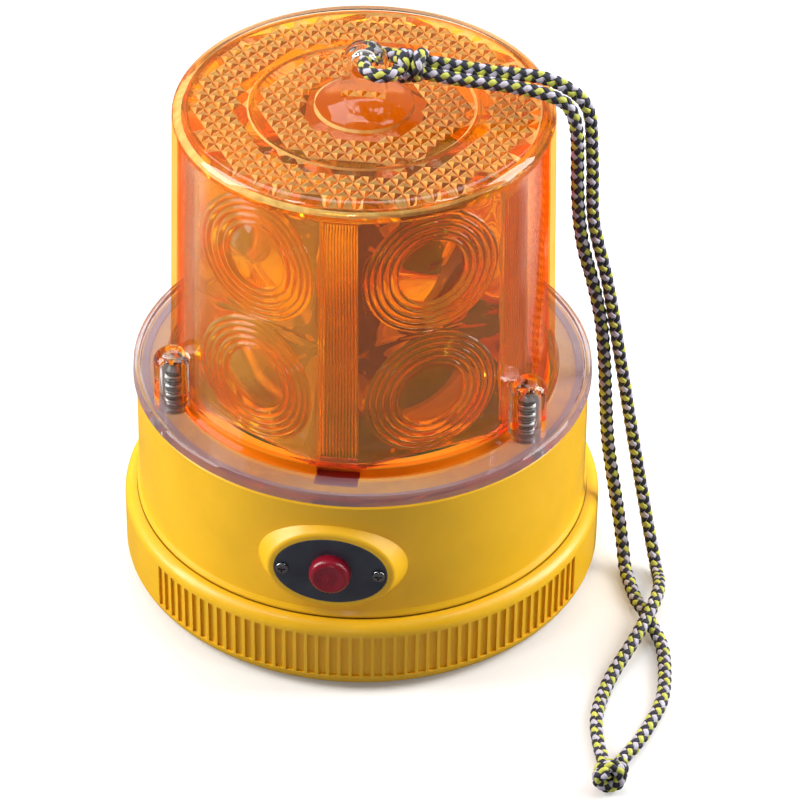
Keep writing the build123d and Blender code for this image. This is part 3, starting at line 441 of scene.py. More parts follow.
def clear_plastic():
    """Clear cover whose wall carries the lens colour."""
    m = Mat("clear_plastic")
    shader = glass(m, (0.985, 0.985, 0.98), rough=0.01, ripple=0.04,
                   wall_tint=(0.99, 0.60, 0.20))
    shader = hazy_shaded_foot(m, shader)
    shader = see_through_wall(m, shader, 0.50, 0.80, strength=0.92, colour=(1.0, 0.68, 0.28))
    for z_low, z_high, inner, outer, colour, strength, back_only in CONTACTS:
        x, y, z = m.xyz()
        radius = m.radius(x, y)
        mask = m.mul(m.math("GREATER_THAN", z, z_low), m.math("LESS_THAN", z, z_high))
        mask = m.mul(mask, m.math("LESS_THAN", radius, outer))
        mask = m.mul(mask, m.mul(m.math("GREATER_THAN", radius, inner), strength))
        if back_only:
            mask = m.mul(mask, m.ramp(y, 0.0, 0.012))
        shader = m.layer(mask, shader, m.bsdf("Transparent", Color=colour))
    return m.done(pass_light(m, shader, (0.94, 0.94, 0.93)))


def painted_facet_glints(m, shader):
    """Painted highlights and painted shade on facets and flutes: lighter on their front left
    side and darker opposite, set by each face's direction.
    """
    prism_foot = (0.1284, 0.1288)    # heights where the top facets come in
    flute_head = (0.1270, 0.1276)    # heights where the side glints go out
    normal = m.node("ShaderNodeNewGeometry").outputs["True Normal"]
    tilt = m.xyz(normal)[2]
    z = m.xyz()[2]
    # sloping faces only, neither upright nor level
    sloping = m.mul(m.ramp(tilt, 0.20, 0.30), m.ramp_down(tilt, 0.90, 0.96))
    top = m.mul(m.ramp(z, *prism_foot), sloping)
    top_lit = m.ramp(m.dot(normal, (-0.66, -0.38, 0.64)), 0.02, 0.84, smooth=True)
    side_lit = m.ramp(m.dot(normal, (-0.62, -0.66, 0.42)), 0.55, 0.97, smooth=True)
    sparkle = m.patches(420, 0.35, 0.65, low=0.75, high=1.15, detail=1, rough=0.5)
    # painted highlights and painted shade: cream or orange where a face turns to the front left,
    # dark brown on faces turned away
    top_colour = m.mix(top_lit, (0.24, 0.078, 0.008), (1.0, 0.79, 0.30))
    side_colour = m.mix(side_lit, (0.50, 0.16, 0.012), (1.0, 0.56, 0.07))
    top_paint = m.bsdf("Diffuse", Color=top_colour, Roughness=0.2)
    side_paint = m.bsdf("Diffuse", Color=side_colour, Roughness=0.2)
    top_mask = m.mul(top, m.mul(m.ramp(top_lit, 0, 1, low=0.50, high=0.72), sparkle, clamp=True))
    side_mask = m.mul(m.ramp_down(z, *flute_head), m.mul(side_lit, 0.24))
    return m.layer(top_mask, m.layer(side_mask, shader, side_paint), top_paint)


def amber_plastic():
    """Amber lens plastic with a slight haze."""
    haze_strength, haze = 0.060, (0.96, 0.43, 0.02)
    m = Mat("amber_plastic")
    shader = glass(m, (0.990, 0.600, 0.032), rough=0.02, ripple=0.06)
    scatter = m.node("ShaderNodeAddShader", {0: m.bsdf("Translucent", Color=haze),
                                             1: m.bsdf("Diffuse", Color=haze)}).outputs[0]
    shader = painted_facet_glints(m, m.layer(haze_strength, shader, scatter))
    shader = see_through_wall(m, shader, 0.62, 0.88, strength=0.8, colour=(0.99, 0.66, 0.22))
    return m.done(pass_light(m, shader, (0.96, 0.52, 0.14)))


# ------------------------------------------------------------------ material set
def wire(name, base, rough):
    return moulded(name, base, rough, grain=1800, grain_bump=0.08, drift=0.1)


MATERIALS = {
    "yellow_plastic": moulded(
        "yellow_plastic", (0.930, 0.520, 0.009), rough=0.40, grain=2400, grain_bump=0.12,
        drift=0.05, subsurface=0.12, coat=0.12, wear=0.35, worn=(0.98, 0.66, 0.11), dust=0.06),
    "clear_plastic": clear_plastic(),
    "amber_plastic": amber_plastic(),
    "window_plastic": window_plastic(),
    "button_plastic": moulded(
        "button_plastic", (0.27, 0.005, 0.020), rough=0.30, grain=2600, grain_bump=0.08,
        drift=0.08, subsurface=0.08, coat=0.25, wear=0.12, worn=(0.50, 0.05, 0.07)),
    "plate_plastic": plate_paint(),
    "screw_steel": steel("screw_steel", (0.30, 0.30, 0.32), rough=0.14),
    "zinc_steel": steel(
        "zinc_steel", (0.70, 0.70, 0.69), rough=0.30, turning=(300, 300, 300),
        turning_bump=0.15, stain=0.2, stain_colour=(0.45, 0.42, 0.30)),
    "spring_steel": steel("spring_steel", (0.66, 0.66, 0.67), rough=0.22,
                          turning=(1500, 200, 1500), turning_bump=0.2),
    "contact_brass": steel(
        "contact_brass", (0.86, 0.62, 0.27), rough=0.24, turning=(200, 900, 200),
        turning_bump=0.2, stain=0.3, stain_colour=(0.35, 0.18, 0.06)),
    "black_plastic": moulded(
        "black_plastic", (0.020, 0.020, 0.022), rough=0.45, grain=2400, grain_bump=0.16,
        drift=0.15, wear=0.3, worn=(0.12, 0.12, 0.12)),
    "black_rubber": rubber("black_rubber", (0.018, 0.018, 0.019), rough=0.72),
    "silicone_rubber": rubber("silicone_rubber", (0.40, 0.33, 0.34), rough=0.5),
    "ferrite": ferrite(),
    "circuit_board": board("circuit_board", (0.012, 0.14, 0.045)),
    "led_white": led_body(),
    "tower_plastic": moulded(
        "tower_plastic", (0.42, 0.40, 0.36), rough=0.48, grain=2200, grain_bump=0.12,
        drift=0.05, wear=0.2, worn=(0.9, 0.9, 0.88)),
    "capacitor_sleeve": moulded("capacitor_sleeve", (0.016, 0.030, 0.095), rough=0.28,
                                grain=1500, grain_bump=0.05, drift=0.2, coat=0.4),
    "inductor_core": moulded("inductor_core", (0.33, 0.14, 0.035), rough=0.35,
                             grain=1200, grain_bump=0.4, drift=0.25),
    "cell_jacket": cell_jacket(),
    "red_wire": wire("red_wire", (0.50, 0.016, 0.014), rough=0.38),
    "black_wire": wire("black_wire", (0.018, 0.018, 0.019), rough=0.40),
    "grey_wire": wire("grey_wire", (0.30, 0.30, 0.31), rough=0.42),
}
YARN_DARK = cord_yarn("braided_cord_dark", (0.010, 0.010, 0.020), (0.040, 0.042, 0.070),
                      sheen=0.25)
YARN_LILAC = cord_yarn("braided_cord_lilac", (0.48, 0.45, 0.56), (0.78, 0.75, 0.86), sheen=0.4)
YARN_LIME = cord_yarn("braided_cord_lime", (0.52, 0.56, 0.06), (0.80, 0.80, 0.18), sheen=0.4)
YARN_CORE = cord_yarn("braided_cord_core", (0.012, 0.012, 0.016), (0.03, 0.03, 0.038), sheen=0.1)
MATERIALS["braided_cord"] = YARN_DARK
THREADED = threaded_steel()
LED_BOARD = board("led_board_mask", (0.030, 0.045, 0.030), rough=0.3)


# ------------------------------------------------------------------ CAD pieces
def smooth_group(angle_deg):
    """Welds split corners and shades smooth up to an angle, without moving a vertex."""
    group = bpy.data.node_groups.new(f"smooth_{angle_deg:g}", "GeometryNodeTree")
    for direction in ("INPUT", "OUTPUT"):
        group.interface.new_socket("Geometry", in_out=direction,
                                   socket_type="NodeSocketGeometry")
    source = group.nodes.new("NodeGroupInput")
    result = group.nodes.new("NodeGroupOutput")
    weld = group.nodes.new("GeometryNodeMergeByDistance")
    weld.inputs["Distance"].default_value = 2e-6
    smooth_faces = group.nodes.new("GeometryNodeSetShadeSmooth")
    smooth_faces.domain = "FACE"
    smooth_faces.inputs["Shade Smooth"].default_value = True
    edge_angle = group.nodes.new("GeometryNodeInputMeshEdgeAngle")
    is_sharp = group.nodes.new("FunctionNodeCompare")
    is_sharp.data_type = "FLOAT"
    is_sharp.operation = "GREATER_THAN"
    is_sharp.inputs[1].default_value = math.radians(angle_deg)
    sharp_edges = group.nodes.new("GeometryNodeSetShadeSmooth")
    sharp_edges.domain = "EDGE"
    sharp_edges.inputs["Shade Smooth"].default_value = False
    link = group.links.new
    link(source.outputs[0], weld.inputs[0])
    link(weld.outputs[0], smooth_faces.inputs[0])
    link(smooth_faces.outputs[0], sharp_edges.inputs[0])
    link(edge_angle.outputs["Unsigned Angle"], is_sharp.inputs[0])
    link(is_sharp.outputs[0], sharp_edges.inputs["Selection"])
    link(sharp_edges.outputs[0], result.inputs[0])
    return group


SMOOTH = smooth_group(21)
SMOOTH_CLEAR = smooth_group(17)


def smooth_cad(piece):
    smooth = piece.modifiers.new("smooth", "NODES")
    smooth.node_group = SMOOTH_CLEAR if piece.name == "clear_cover" else SMOOTH
    weighted = piece.modifiers.new("weighted", "WEIGHTED_NORMAL")
    weighted.mode = "FACE_AREA"
    weighted.weight = 60
    weighted.keep_sharp = True


def loaded_material(piece):
    """Name of the first material the piece was loaded with."""
    for slot in piece.material_slots:
        if slot.material:
            return slot.material.name.split(".")[0]
    return ""


def dress_cad():
    recorded = {entry["name"]: entry["material"]
                for entry in frame["record"].get("nodes", []) or []
                if isinstance(entry, dict) and entry.get("material")}
    for name, piece in frame["nodes"].items():
        key = recorded.get(name) or loaded_material(piece)
        material = MATERIALS.get(key, MATERIALS["black_plastic"])
        if name.startswith("led_board"):
            material = LED_BOARD
        if piece.name == "cover_screws":
            material = THREADED
        if not piece.material_slots:
            piece.data.materials.append(material)
        for slot in piece.material_slots:
            slot.material = material
        smooth_cad(piece)


dress_cad()


# ------------------------------------------------------------------ mesh helpers
def polar(radius, azimuth, z):
    """Point at an azimuth in degrees, counted from the front (-Y) towards +X."""
    angle = math.radians(azimuth)
    return (radius * math.sin(angle), -radius * math.cos(angle), z)


def new_object(name, verts, faces, materials, face_materials=None, smooth=True, sharp=None,
               uvs=None):
    """Mesh object from vertices in millimetres; uvs holds one pair per vertex."""
    mesh = bpy.data.meshes.new(name)
    mesh.from_pydata([tuple(c * MM for c in v) for v in verts], [], faces)
    for material in materials:
        mesh.materials.append(material)
    if face_materials is not None:
        mesh.polygons.foreach_set("material_index", face_materials)
    if smooth:
        mesh.shade_smooth()
    if sharp:
        mesh.set_sharp_from_angle(angle=math.radians(sharp))
    if uvs is not None:
        layer = mesh.uv_layers.new(name="UVMap")
        corners = np.zeros(len(mesh.loops), np.int32)
        mesh.loops.foreach_get("vertex_index", corners)
        layer.data.foreach_set("uv", np.asarray(uvs, np.float32)[corners].ravel())
    mesh.validate()
    mesh.update()
    made = bpy.data.objects.new(name, mesh)
    scene.collection.objects.link(made)
    return made


def face_outward(mesh):
    bm = bmesh.new()
    bm.from_mesh(mesh)
    bmesh.ops.recalc_face_normals(bm, faces=bm.faces)
    bm.to_mesh(mesh)
    bm.free()


def smoothstep(start, end, value):
    t = min(1.0, max(0.0, (value - start) / (end - start)))
    return t * t * (3 - 2 * t)


class SharedMesh:
    """Vertices shared by position, and the faces between them."""

    def __init__(self):
        self.verts, self.faces, self.index = [], [], {}

    def vertex(self, point):
        key = tuple(round(c, 4) for c in point)
        if key not in self.index:
            self.index[key] = len(self.verts)
            self.verts.append(point)
        return self.index[key]

    def quad(self, *corners):
        """A quad, or a triangle where two corners fall together."""
        ids = list(dict.fromkeys(corners))
        if len(ids) >= 3:
            self.faces.append(tuple(ids))

    def sheet(self, columns):
        for left, right in zip(columns, columns[1:]):
            for i in range(len(left) - 1):
                self.quad(left[i], right[i], right[i + 1], left[i + 1])

    def ring(self, radius, z, azimuths):
        return [self.vertex(polar(radius, azimuth, z)) for azimuth in azimuths]

    def bridge(self, first, second):
        count = len(first)
        for i in range(count):
            j = (i + 1) % count
            self.quad(first[i], first[j], second[j], second[i])


# ------------------------------------------------------------------ amber lens
# The side has six sections centred 60 degrees apart, with fluted strips between them.
# Four sections are flat with two bullseyes each; the ones at 90 and 270 are round.
LENS_Z_DATUM = 58.4                     # height at which the radius and apothem are given
LENS_RADIUS, LENS_APOTHEM = 45.9, 42.0  # round and fluted parts, flat sections
LENS_DRAFT = math.tan(math.radians(1.5))
LENS_LOW, LENS_MID, LENS_HIGH = 58.9, 93.3, 127.5   # bottom, cell border and top of the side
LENS_TOP = 130.2
LENS_WALL = 2.2
LIP_Z, LIP_INSET = 58.45, 0.15
CEILING_Z = 127.6
SECTIONS = range(30, 360, 60)
FLATS = (30, 150, 210, 330)

CELL_STEPS = 24                         # intervals per cell side
STRIP_STEPS = 78                        # intervals across a fluted strip
FLUTES, FLUTE_DEPTH = 13, 0.5

BULLSEYE_Z = (76.0, 110.5)
BULB_HEIGHT, BULB_STEPS = 2.4, 10
# stepped rings of a bullseye: inner radius, outer radius, height
BULLSEYE_RINGS = ((8.4, 10.2, 1.0), (10.2, 12.0, 0.95), (12.0, 13.7, 0.85), (13.7, 15.3, 0.75),
                  (15.3, 16.7, 0.6))
BULB_RADIUS = BULLSEYE_RINGS[0][0]
BULLSEYE_RADIUS = BULLSEYE_RINGS[-1][1]
# section of each ring: fraction of its width, fraction of its height
RING_SECTION = ((0.10, 0.72), (0.22, 1.0), (0.42, 0.92), (0.62, 0.70), (0.82, 0.36), (1.0, 0.0))

# shoulder above the side, then the ceiling inside: radius, z
SHOULDER = ((43.6, 127.62), (43.7, 127.9), (43.65, 129.1), (43.4, 129.6), (42.95, 130.0),
            (42.3, LENS_TOP))
CEILING = ((38.2, 127.35), (37.4, CEILING_Z), (24.0, CEILING_Z), (12.0, CEILING_Z),
           (5.0, CEILING_Z))
INNER_WALL_Z = (LIP_Z, 70, 82, 94, 106, 118, 126.6)

PRISM_PITCH = 3.4
PRISM_ROW = PRISM_PITCH * math.sqrt(3) / 2
PRISM_VALLEY, PRISM_TIP = 128.7, LENS_TOP
PRISM_ZONES = ((12.6, 25.8), (28.1, 41.5))          # inner and outer radius
LATTICE_REACH = 20
GROOVE_Z = 129.2
# plain circles of the top face: radius, z, points
TOP_CIRCLES = ((6.0, LENS_TOP, 36), (11.2, LENS_TOP, 72), (12.0, GROOVE_Z, 72),
               (26.3, GROOVE_Z, 144), (26.9, LENS_TOP, 144), (27.5, LENS_TOP, 144),
               (27.9, GROOVE_Z, 144), (41.85, 129.4, 216))


def lens_radius(z):
    return LENS_RADIUS - (z - LENS_Z_DATUM) * LENS_DRAFT


def lens_apothem(z):
    return LENS_APOTHEM - (z - LENS_Z_DATUM) * LENS_DRAFT


def half_angle(z):
    """Half the angle a section takes up, in degrees."""
    return math.degrees(math.acos(lens_apothem(z) / lens_radius(z)))


def half_width(z):
    return math.sqrt(lens_radius(z) ** 2 - lens_apothem(z) ** 2)


def on_flat(azimuth, across, z, height):
    """Point on a flat section, raised off it by a height."""
    out = lens_apothem(z) + height
    sin, cos = math.sin(math.radians(azimuth)), math.cos(math.radians(azimuth))
    return (out * sin + across * cos, out * -cos + across * sin, z)


def on_section(azimuth, fraction, z):
    """Point across a flat or round section."""
    if azimuth in FLATS:
        return on_flat(azimuth, (-1 + 2 * fraction) * half_width(z), z, 0.0)
    half = half_angle(z)
    return polar(lens_radius(z), azimuth - half + 2 * half * fraction, z)


def on_strip(azimuth, step, z):
    """Point across the fluted strip that follows a section."""
    if step == 0:
        return on_section(azimuth, 1.0, z)
    if step == STRIP_STEPS:
        return on_section((azimuth + 60) % 360, 0.0, z)
    fraction = step / STRIP_STEPS
    half = half_angle(z)
    start, end = azimuth + half, azimuth + 60 - half
    depth = FLUTE_DEPTH * smoothstep(61.4, 62.4, z) * (1 - smoothstep(126.6, 127.3, z))
    crest = abs(math.sin(math.pi * FLUTES * fraction)) ** 0.7
    return polar(lens_radius(z) - depth * (1 - crest), start + (end - start) * fraction, z)


def bullseye_profile():
    """Radius and height from the centre out: a convex bulb, then the stepped rings."""
    profile = []
    for i in range(BULB_STEPS + 1):
        r = BULB_RADIUS * math.sin(math.pi / 2 * i / BULB_STEPS)
        rise = math.cos(math.pi / 2 * (r / BULB_RADIUS)) ** 0.9 if r < BULB_RADIUS else 0.0
        profile.append((r, BULB_HEIGHT * rise))
    for inner, outer, height in BULLSEYE_RINGS:
        width = outer - inner
        profile += [(inner + f * width, height * rise) for f, rise in RING_SECTION]
    return profile


def add_bullseye(mesh, azimuth, z_low, z_high, z_centre, profile):
    """One square cell of a flat section with its bullseye."""
    n = CELL_STEPS
    height = z_high - z_low
    border = [(-1 + 2 * i / n, z_low) for i in range(n)]
    border += [(1, z_low + height * i / n) for i in range(n)]
    border += [(1 - 2 * i / n, z_high) for i in range(n)]
    border += [(-1, z_high - height * i / n) for i in range(n)]
    border = [(side * half_width(z), z) for side, z in border]
    angles = [math.atan2(z - z_centre, across) for across, z in border]
    loops = [[mesh.vertex(on_flat(azimuth, r * math.cos(t), z_centre + r * math.sin(t), h))
              for t in angles] for r, h in profile[1:]]
    # a slight swell between the last ring and the cell border
    for f in (0.35, 0.7):
        loop = []
        for (across, z), t in zip(border, angles):
            ring_across = BULLSEYE_RADIUS * math.cos(t)
            ring_z = z_centre + BULLSEYE_RADIUS * math.sin(t)
            loop.append(mesh.vertex(on_flat(
                azimuth, ring_across + (across - ring_across) * f,
                ring_z + (z - ring_z) * f, 0.25 * math.sin(math.pi * f))))
        loops.append(loop)
    loops.append([mesh.vertex(on_flat(azimuth, across, z, 0.0)) for across, z in border])
    centre = mesh.vertex(on_flat(azimuth, 0, z_centre, profile[0][1]))
    for i in range(len(border)):
        j = (i + 1) % len(border)
        mesh.faces.append((centre, loops[0][i], loops[0][j]))
        for a, b in zip(loops, loops[1:]):
            mesh.quad(a[i], b[i], b[j], a[j])


def add_side(mesh):
    n = CELL_STEPS
    levels = [LENS_LOW + (LENS_MID - LENS_LOW) * i / n for i in range(n)]
    levels += [LENS_MID + (LENS_HIGH - LENS_MID) * i / n for i in range(n + 1)]
    cells = ((LENS_LOW, LENS_MID, BULLSEYE_Z[0]), (LENS_MID, LENS_HIGH, BULLSEYE_Z[1]))
    profile = bullseye_profile()
    for azimuth in SECTIONS:
        if azimuth in FLATS:
            for z_low, z_high, z_centre in cells:
                add_bullseye(mesh, azimuth, z_low, z_high, z_centre, profile)
        else:
            mesh.sheet([[mesh.vertex(on_section(azimuth, i / n, z)) for z in levels]
                        for i in range(n + 1)])
        mesh.sheet([[mesh.vertex(on_strip(azimuth, step, z)) for z in levels]
                    for step in range(STRIP_STEPS + 1)])


def outer_loop(mesh, z):
    """The outline of the side at a height, with the azimuth of each vertex."""
    ids = []
    for azimuth in SECTIONS:
        ids += [mesh.vertex(on_section(azimuth, i / CELL_STEPS, z)) for i in range(CELL_STEPS)]
        ids += [mesh.vertex(on_strip(azimuth, step, z)) for step in range(STRIP_STEPS)]
    azimuths = [math.degrees(math.atan2(mesh.verts[i][0], -mesh.verts[i][1])) for i in ids]
    return ids, azimuths


def inner_loop(mesh, z, azimuths):
    """The same outline inside the wall, without flutes."""
    radius, apothem = lens_radius(z) - LENS_WALL, lens_apothem(z) - LENS_WALL
    ids = []
    for azimuth in azimuths:
        offset = (azimuth - 30) % 60
        offset = offset - 60 if offset > 30 else offset
        section = round((azimuth - offset) % 360) % 360
        r = radius
        if section in FLATS:
            r = min(radius, apothem / math.cos(math.radians(offset)))
        ids.append(mesh.vertex(polar(r, azimuth, z)))
    return ids


def add_shoulder(mesh):
    """Rounded shoulder above the side; returns its top loop."""
    top, azimuths = outer_loop(mesh, LENS_HIGH)
    loops = [top] + [mesh.ring(r, z, azimuths) for r, z in SHOULDER]
    for a, b in zip(loops, loops[1:]):
        mesh.bridge(a, b)
    return loops[-1]


def add_inside(mesh):
    """Bottom lip, inner wall and ceiling."""
    bottom, azimuths = outer_loop(mesh, LENS_LOW)
    lip = []
    for i in bottom:
        x, y, _ = mesh.verts[i]
        r = math.hypot(x, y)
        lip.append(mesh.vertex((x * (r - LIP_INSET) / r, y * (r - LIP_INSET) / r, LIP_Z)))
    mesh.bridge(lip, bottom)
    wall = [inner_loop(mesh, z, azimuths) for z in INNER_WALL_Z]
    mesh.bridge(wall[0], lip)
    loops = wall + [mesh.ring(r, z, azimuths) for r, z in CEILING]
    for a, b in zip(loops, loops[1:]):
        mesh.bridge(b, a)
    centre = mesh.vertex((0, 0, CEILING_Z))
    last = loops[-1]
    for i in range(len(last)):
        mesh.faces.append((centre, last[(i + 1) % len(last)], last[i]))


def lattice_point(i, j):
    return (i * PRISM_PITCH + (PRISM_PITCH / 2 if j % 2 else 0), j * PRISM_ROW)


def prism_zone(i, j):
    r = math.hypot(*lattice_point(i, j))
    for number, (inner, outer) in enumerate(PRISM_ZONES):
        if inner <= r <= outer:
            return number
    return -1


def prism_triangles():
    """Lattice triangles that lie wholly inside one ring zone."""
    kept = []
    for j in range(-LATTICE_REACH, LATTICE_REACH):
        for i in range(-LATTICE_REACH, LATTICE_REACH):
            a, b, c, d = (i, j), (i + 1, j), (i + 1, j + 1), (i, j + 1)
            for triangle in ((a, b, c), (a, c, d)) if j % 2 else ((a, b, d), (b, c, d)):
                zones = {prism_zone(*corner) for corner in triangle}
                if len(zones) == 1 and -1 not in zones:
                    kept.append(triangle)
    return kept


def add_prism_top(mesh, rim):
    """Top face: three-sided pyramids in two ring zones, with plain circles between."""
    points, heights, edges, lattice_ids = [], [], set(), {}

    def add_point(point, z):
        points.append(Vector(point))
        heights.append(z)
        return len(points) - 1

    def add_loop(ids):
        for i in range(len(ids)):
            edges.add(tuple(sorted((ids[i], ids[(i + 1) % len(ids)]))))

    triangles = prism_triangles()
    for triangle in triangles:
        for corner in triangle:
            if corner not in lattice_ids:
                lattice_ids[corner] = add_point(lattice_point(*corner), PRISM_VALLEY)
        add_loop([lattice_ids[corner] for corner in triangle])
    add_point((0, 0), LENS_TOP)
    for r, z, count in TOP_CIRCLES:
        turns = [2 * math.pi * i / count for i in range(count)]
        add_loop([add_point((r * math.cos(t), r * math.sin(t)), z) for t in turns])
    add_loop([add_point(mesh.verts[i][:2], LENS_TOP) for i in rim])

    flat, _, flat_faces, sources, *_ = delaunay_2d_cdt(points, sorted(edges), [], 1, 1e-7)
    prism_keys = {tuple(sorted(lattice_ids[corner] for corner in t)) for t in triangles}
    vertex_ids = [mesh.vertex((p.x, p.y, heights[source[0]] if source else PRISM_VALLEY))
                  for p, source in zip(flat, sources)]
    for face in flat_faces:
        key = tuple(sorted(sources[i][0] if sources[i] else -1 for i in face))
        ids = [vertex_ids[i] for i in face]
        a, b, c = (flat[i] for i in face[:3])
        if (b.x - a.x) * (c.y - a.y) - (b.y - a.y) * (c.x - a.x) < 0:
            ids.reverse()
        if key in prism_keys:
            tip_x = sum(mesh.verts[i][0] for i in ids) / 3
            tip_y = sum(mesh.verts[i][1] for i in ids) / 3
            tip = mesh.vertex((tip_x, tip_y, PRISM_TIP))
            for i in range(3):
                mesh.faces.append((ids[i], ids[(i + 1) % 3], tip))
        else:
            mesh.faces.append(tuple(ids))


def fill_slivers(mesh):
    """Closes the slivers the triangulation skips where rim points nearly line up."""
    directed = dict.fromkeys((face[i], face[(i + 1) % len(face)])
                             for face in mesh.faces for i in range(len(face)))
    back = {b: a for a, b in directed if (b, a) not in directed}
    while back:
        start = next(iter(back))
        loop, at = [start], back.pop(start)
        while at != start and at in back:
            loop.append(at)
            at = back.pop(at)
        if at == start and len(loop) >= 3:
            mesh.faces.append(tuple(loop))


def build_lens():
    mesh = SharedMesh()
    add_side(mesh)
    rim = add_shoulder(mesh)
    add_inside(mesh)
    add_prism_top(mesh, rim)
    fill_slivers(mesh)
    made = new_object("lens_prisms", mesh.verts, mesh.faces, [MATERIALS["amber_plastic"]])
    face_outward(made.data)
    made.data.set_sharp_from_angle(angle=math.radians(32))
    return made


# the wide and the narrow step of each foot: half angle in degrees, z from, z to,
# inner radius, outer radius
FOOT_STEPS = ((8.6, 58.5, 60.2, 46.0, 46.3), (6.0, 60.22, 61.5, 45.92, 46.15))
FOOT_ARC_STEPS = 10
FOOT_BEVEL_IN, FOOT_BEVEL_UP = 0.1, 0.2


def build_feet():
    """T-shaped feet at the foot of the fluted strips."""
    verts, faces = [], []
    for azimuth in range(0, 360, 60):
        for half, z_low, z_high, inner, outer in FOOT_STEPS:
            base = len(verts)
            section = [(inner, z_low), (outer - FOOT_BEVEL_IN, z_low),
                       (outer, z_low + FOOT_BEVEL_UP), (outer, z_high - FOOT_BEVEL_UP),
                       (outer - FOOT_BEVEL_IN, z_high), (inner, z_high)]
            for i in range(FOOT_ARC_STEPS + 1):
                turn = azimuth - half + 2 * half * i / FOOT_ARC_STEPS
                verts += [polar(r, turn, z) for r, z in section]
            count = len(section)
            for i in range(FOOT_ARC_STEPS):
                for j in range(count):
                    p, q = base + i * count + j, base + i * count + (j + 1) % count
                    faces.append((p, p + count, q + count, q))
            last = base + FOOT_ARC_STEPS * count
            faces.append(tuple(base + j for j in range(count)))
            faces.append(tuple(last + j for j in reversed(range(count))))
    made = new_object("lens_feet", verts, faces, [MATERIALS["amber_plastic"]], sharp=40)
    face_outward(made.data)
    return made


lens = build_lens()
feet = build_feet()
for piece in (lens, feet):
    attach(piece, "housing")
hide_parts("amber_lens")


# ------------------------------------------------------------------ braided cord
CORD_RADIUS = 1.72
BRAID_LEAD = 11.2      # length of one full turn of the yarn at CORD_RADIUS
CARRIERS = 4           # yarns wound each way
YARN_SIDES = 8
EYE_Z = 143.2          # height of the loop through the eyelet
EYE_HALF_X, EYE_HALF_Y = 4.3, 5.0
FLOOR_CLEARANCE = 0.02

# centre lines of the two strands from the eyelet knot to the floor knot: x, y, z
FIRST_STRAND = [
    (9.4, -0.2, EYE_Z - 0.6),
    (12.5, -0.4, 142.3), (22.5, -0.2, 140.9), (29.5, 0.6, 139.9), (36.6, 1.2, 138.9),
    (43.7, 1.6, 137.2), (47.6, 2.0, 135.0), (49.6, 2.4, 131.4), (50.6, 3.0, 126.0),
    (51.0, 3.4, 118.0), (51.2, 3.3, 112.9), (52.1, 3.2, 101.5), (53.6, 3.2, 92.8),
    (56.0, 3.3, 84.0), (58.6, 3.2, 72.3), (60.0, 3.0, 60.4), (60.9, 2.7, 48.3),
    (62.0, 2.3, 36.0), (64.0, 1.6, 23.6), (66.2, 0.2, 12.2), (67.6, -2.4, 5.0),
    (68.6, -6.4, 2.1), (70.4, -12.4, 1.8), (72.3, -18.3, 1.9), (74.8, -23.6, 2.6),
    (77.2, -28.6, 2.2), (79.9, -35.0, 1.8), (81.4, -46.0, 1.8), (81.3, -55.2, 1.8),
    (79.5, -62.8, 1.8), (76.6, -71.2, 1.8), (73.4, -78.2, 2.2), (71.6, -84.0, 3.4),
    (71.0, -86.4, 4.6)]
SECOND_STRAND = [
    (9.4, 1.6, EYE_Z - 0.1),
    (12.5, 2.2, 143.6), (29.5, 3.8, 141.2), (43.7, 5.2, 139.2), (52.2, 5.2, 133.2),
    (54.4, 4.3, 120.0), (55.5, 3.8, 101.5), (59.6, 3.8, 84.1), (64.0, 3.5, 60.4),
    (68.4, 3.2, 36.1), (73.2, 1.4, 12.2), (76.4, -5.4, 2.4), (77.8, -17.4, 5.2),
    (74.0, -33.2, 4.2), (68.0, -49.6, 1.8), (66.0, -64.6, 1.8), (68.8, -79.4, 2.4),
    (70.4, -84.0, 3.6), (70.8, -86.4, 4.8)]

# the two kinds of coil in a knot, each with the radius of its cord
WRAP = (dict(radius=2.55, pitch=3.2, turns=1.9), 1.62)
CROSSING = (dict(radius=2.75, pitch=0.9, turns=0.95), 1.55)
# coils of the eyelet knot, then of the floor knot: kind, centre, axis, tilt, start angle
KNOT_COILS = (
    (WRAP, (10.9, 0.9, EYE_Z - 0.2), (1, 0.05, -0.12), 14, 200),
    (CROSSING, (9.6, 0.9, EYE_Z - 0.2), (1, 0.25, 0.55), -20, 20),
    (WRAP, (71.0, -86.4, 4.7), (-0.05, -1, -0.15), 12, 120),
    (CROSSING, (71.0, -87.0, 4.7), (0.35, -1, 0.5), -25, 0),
)


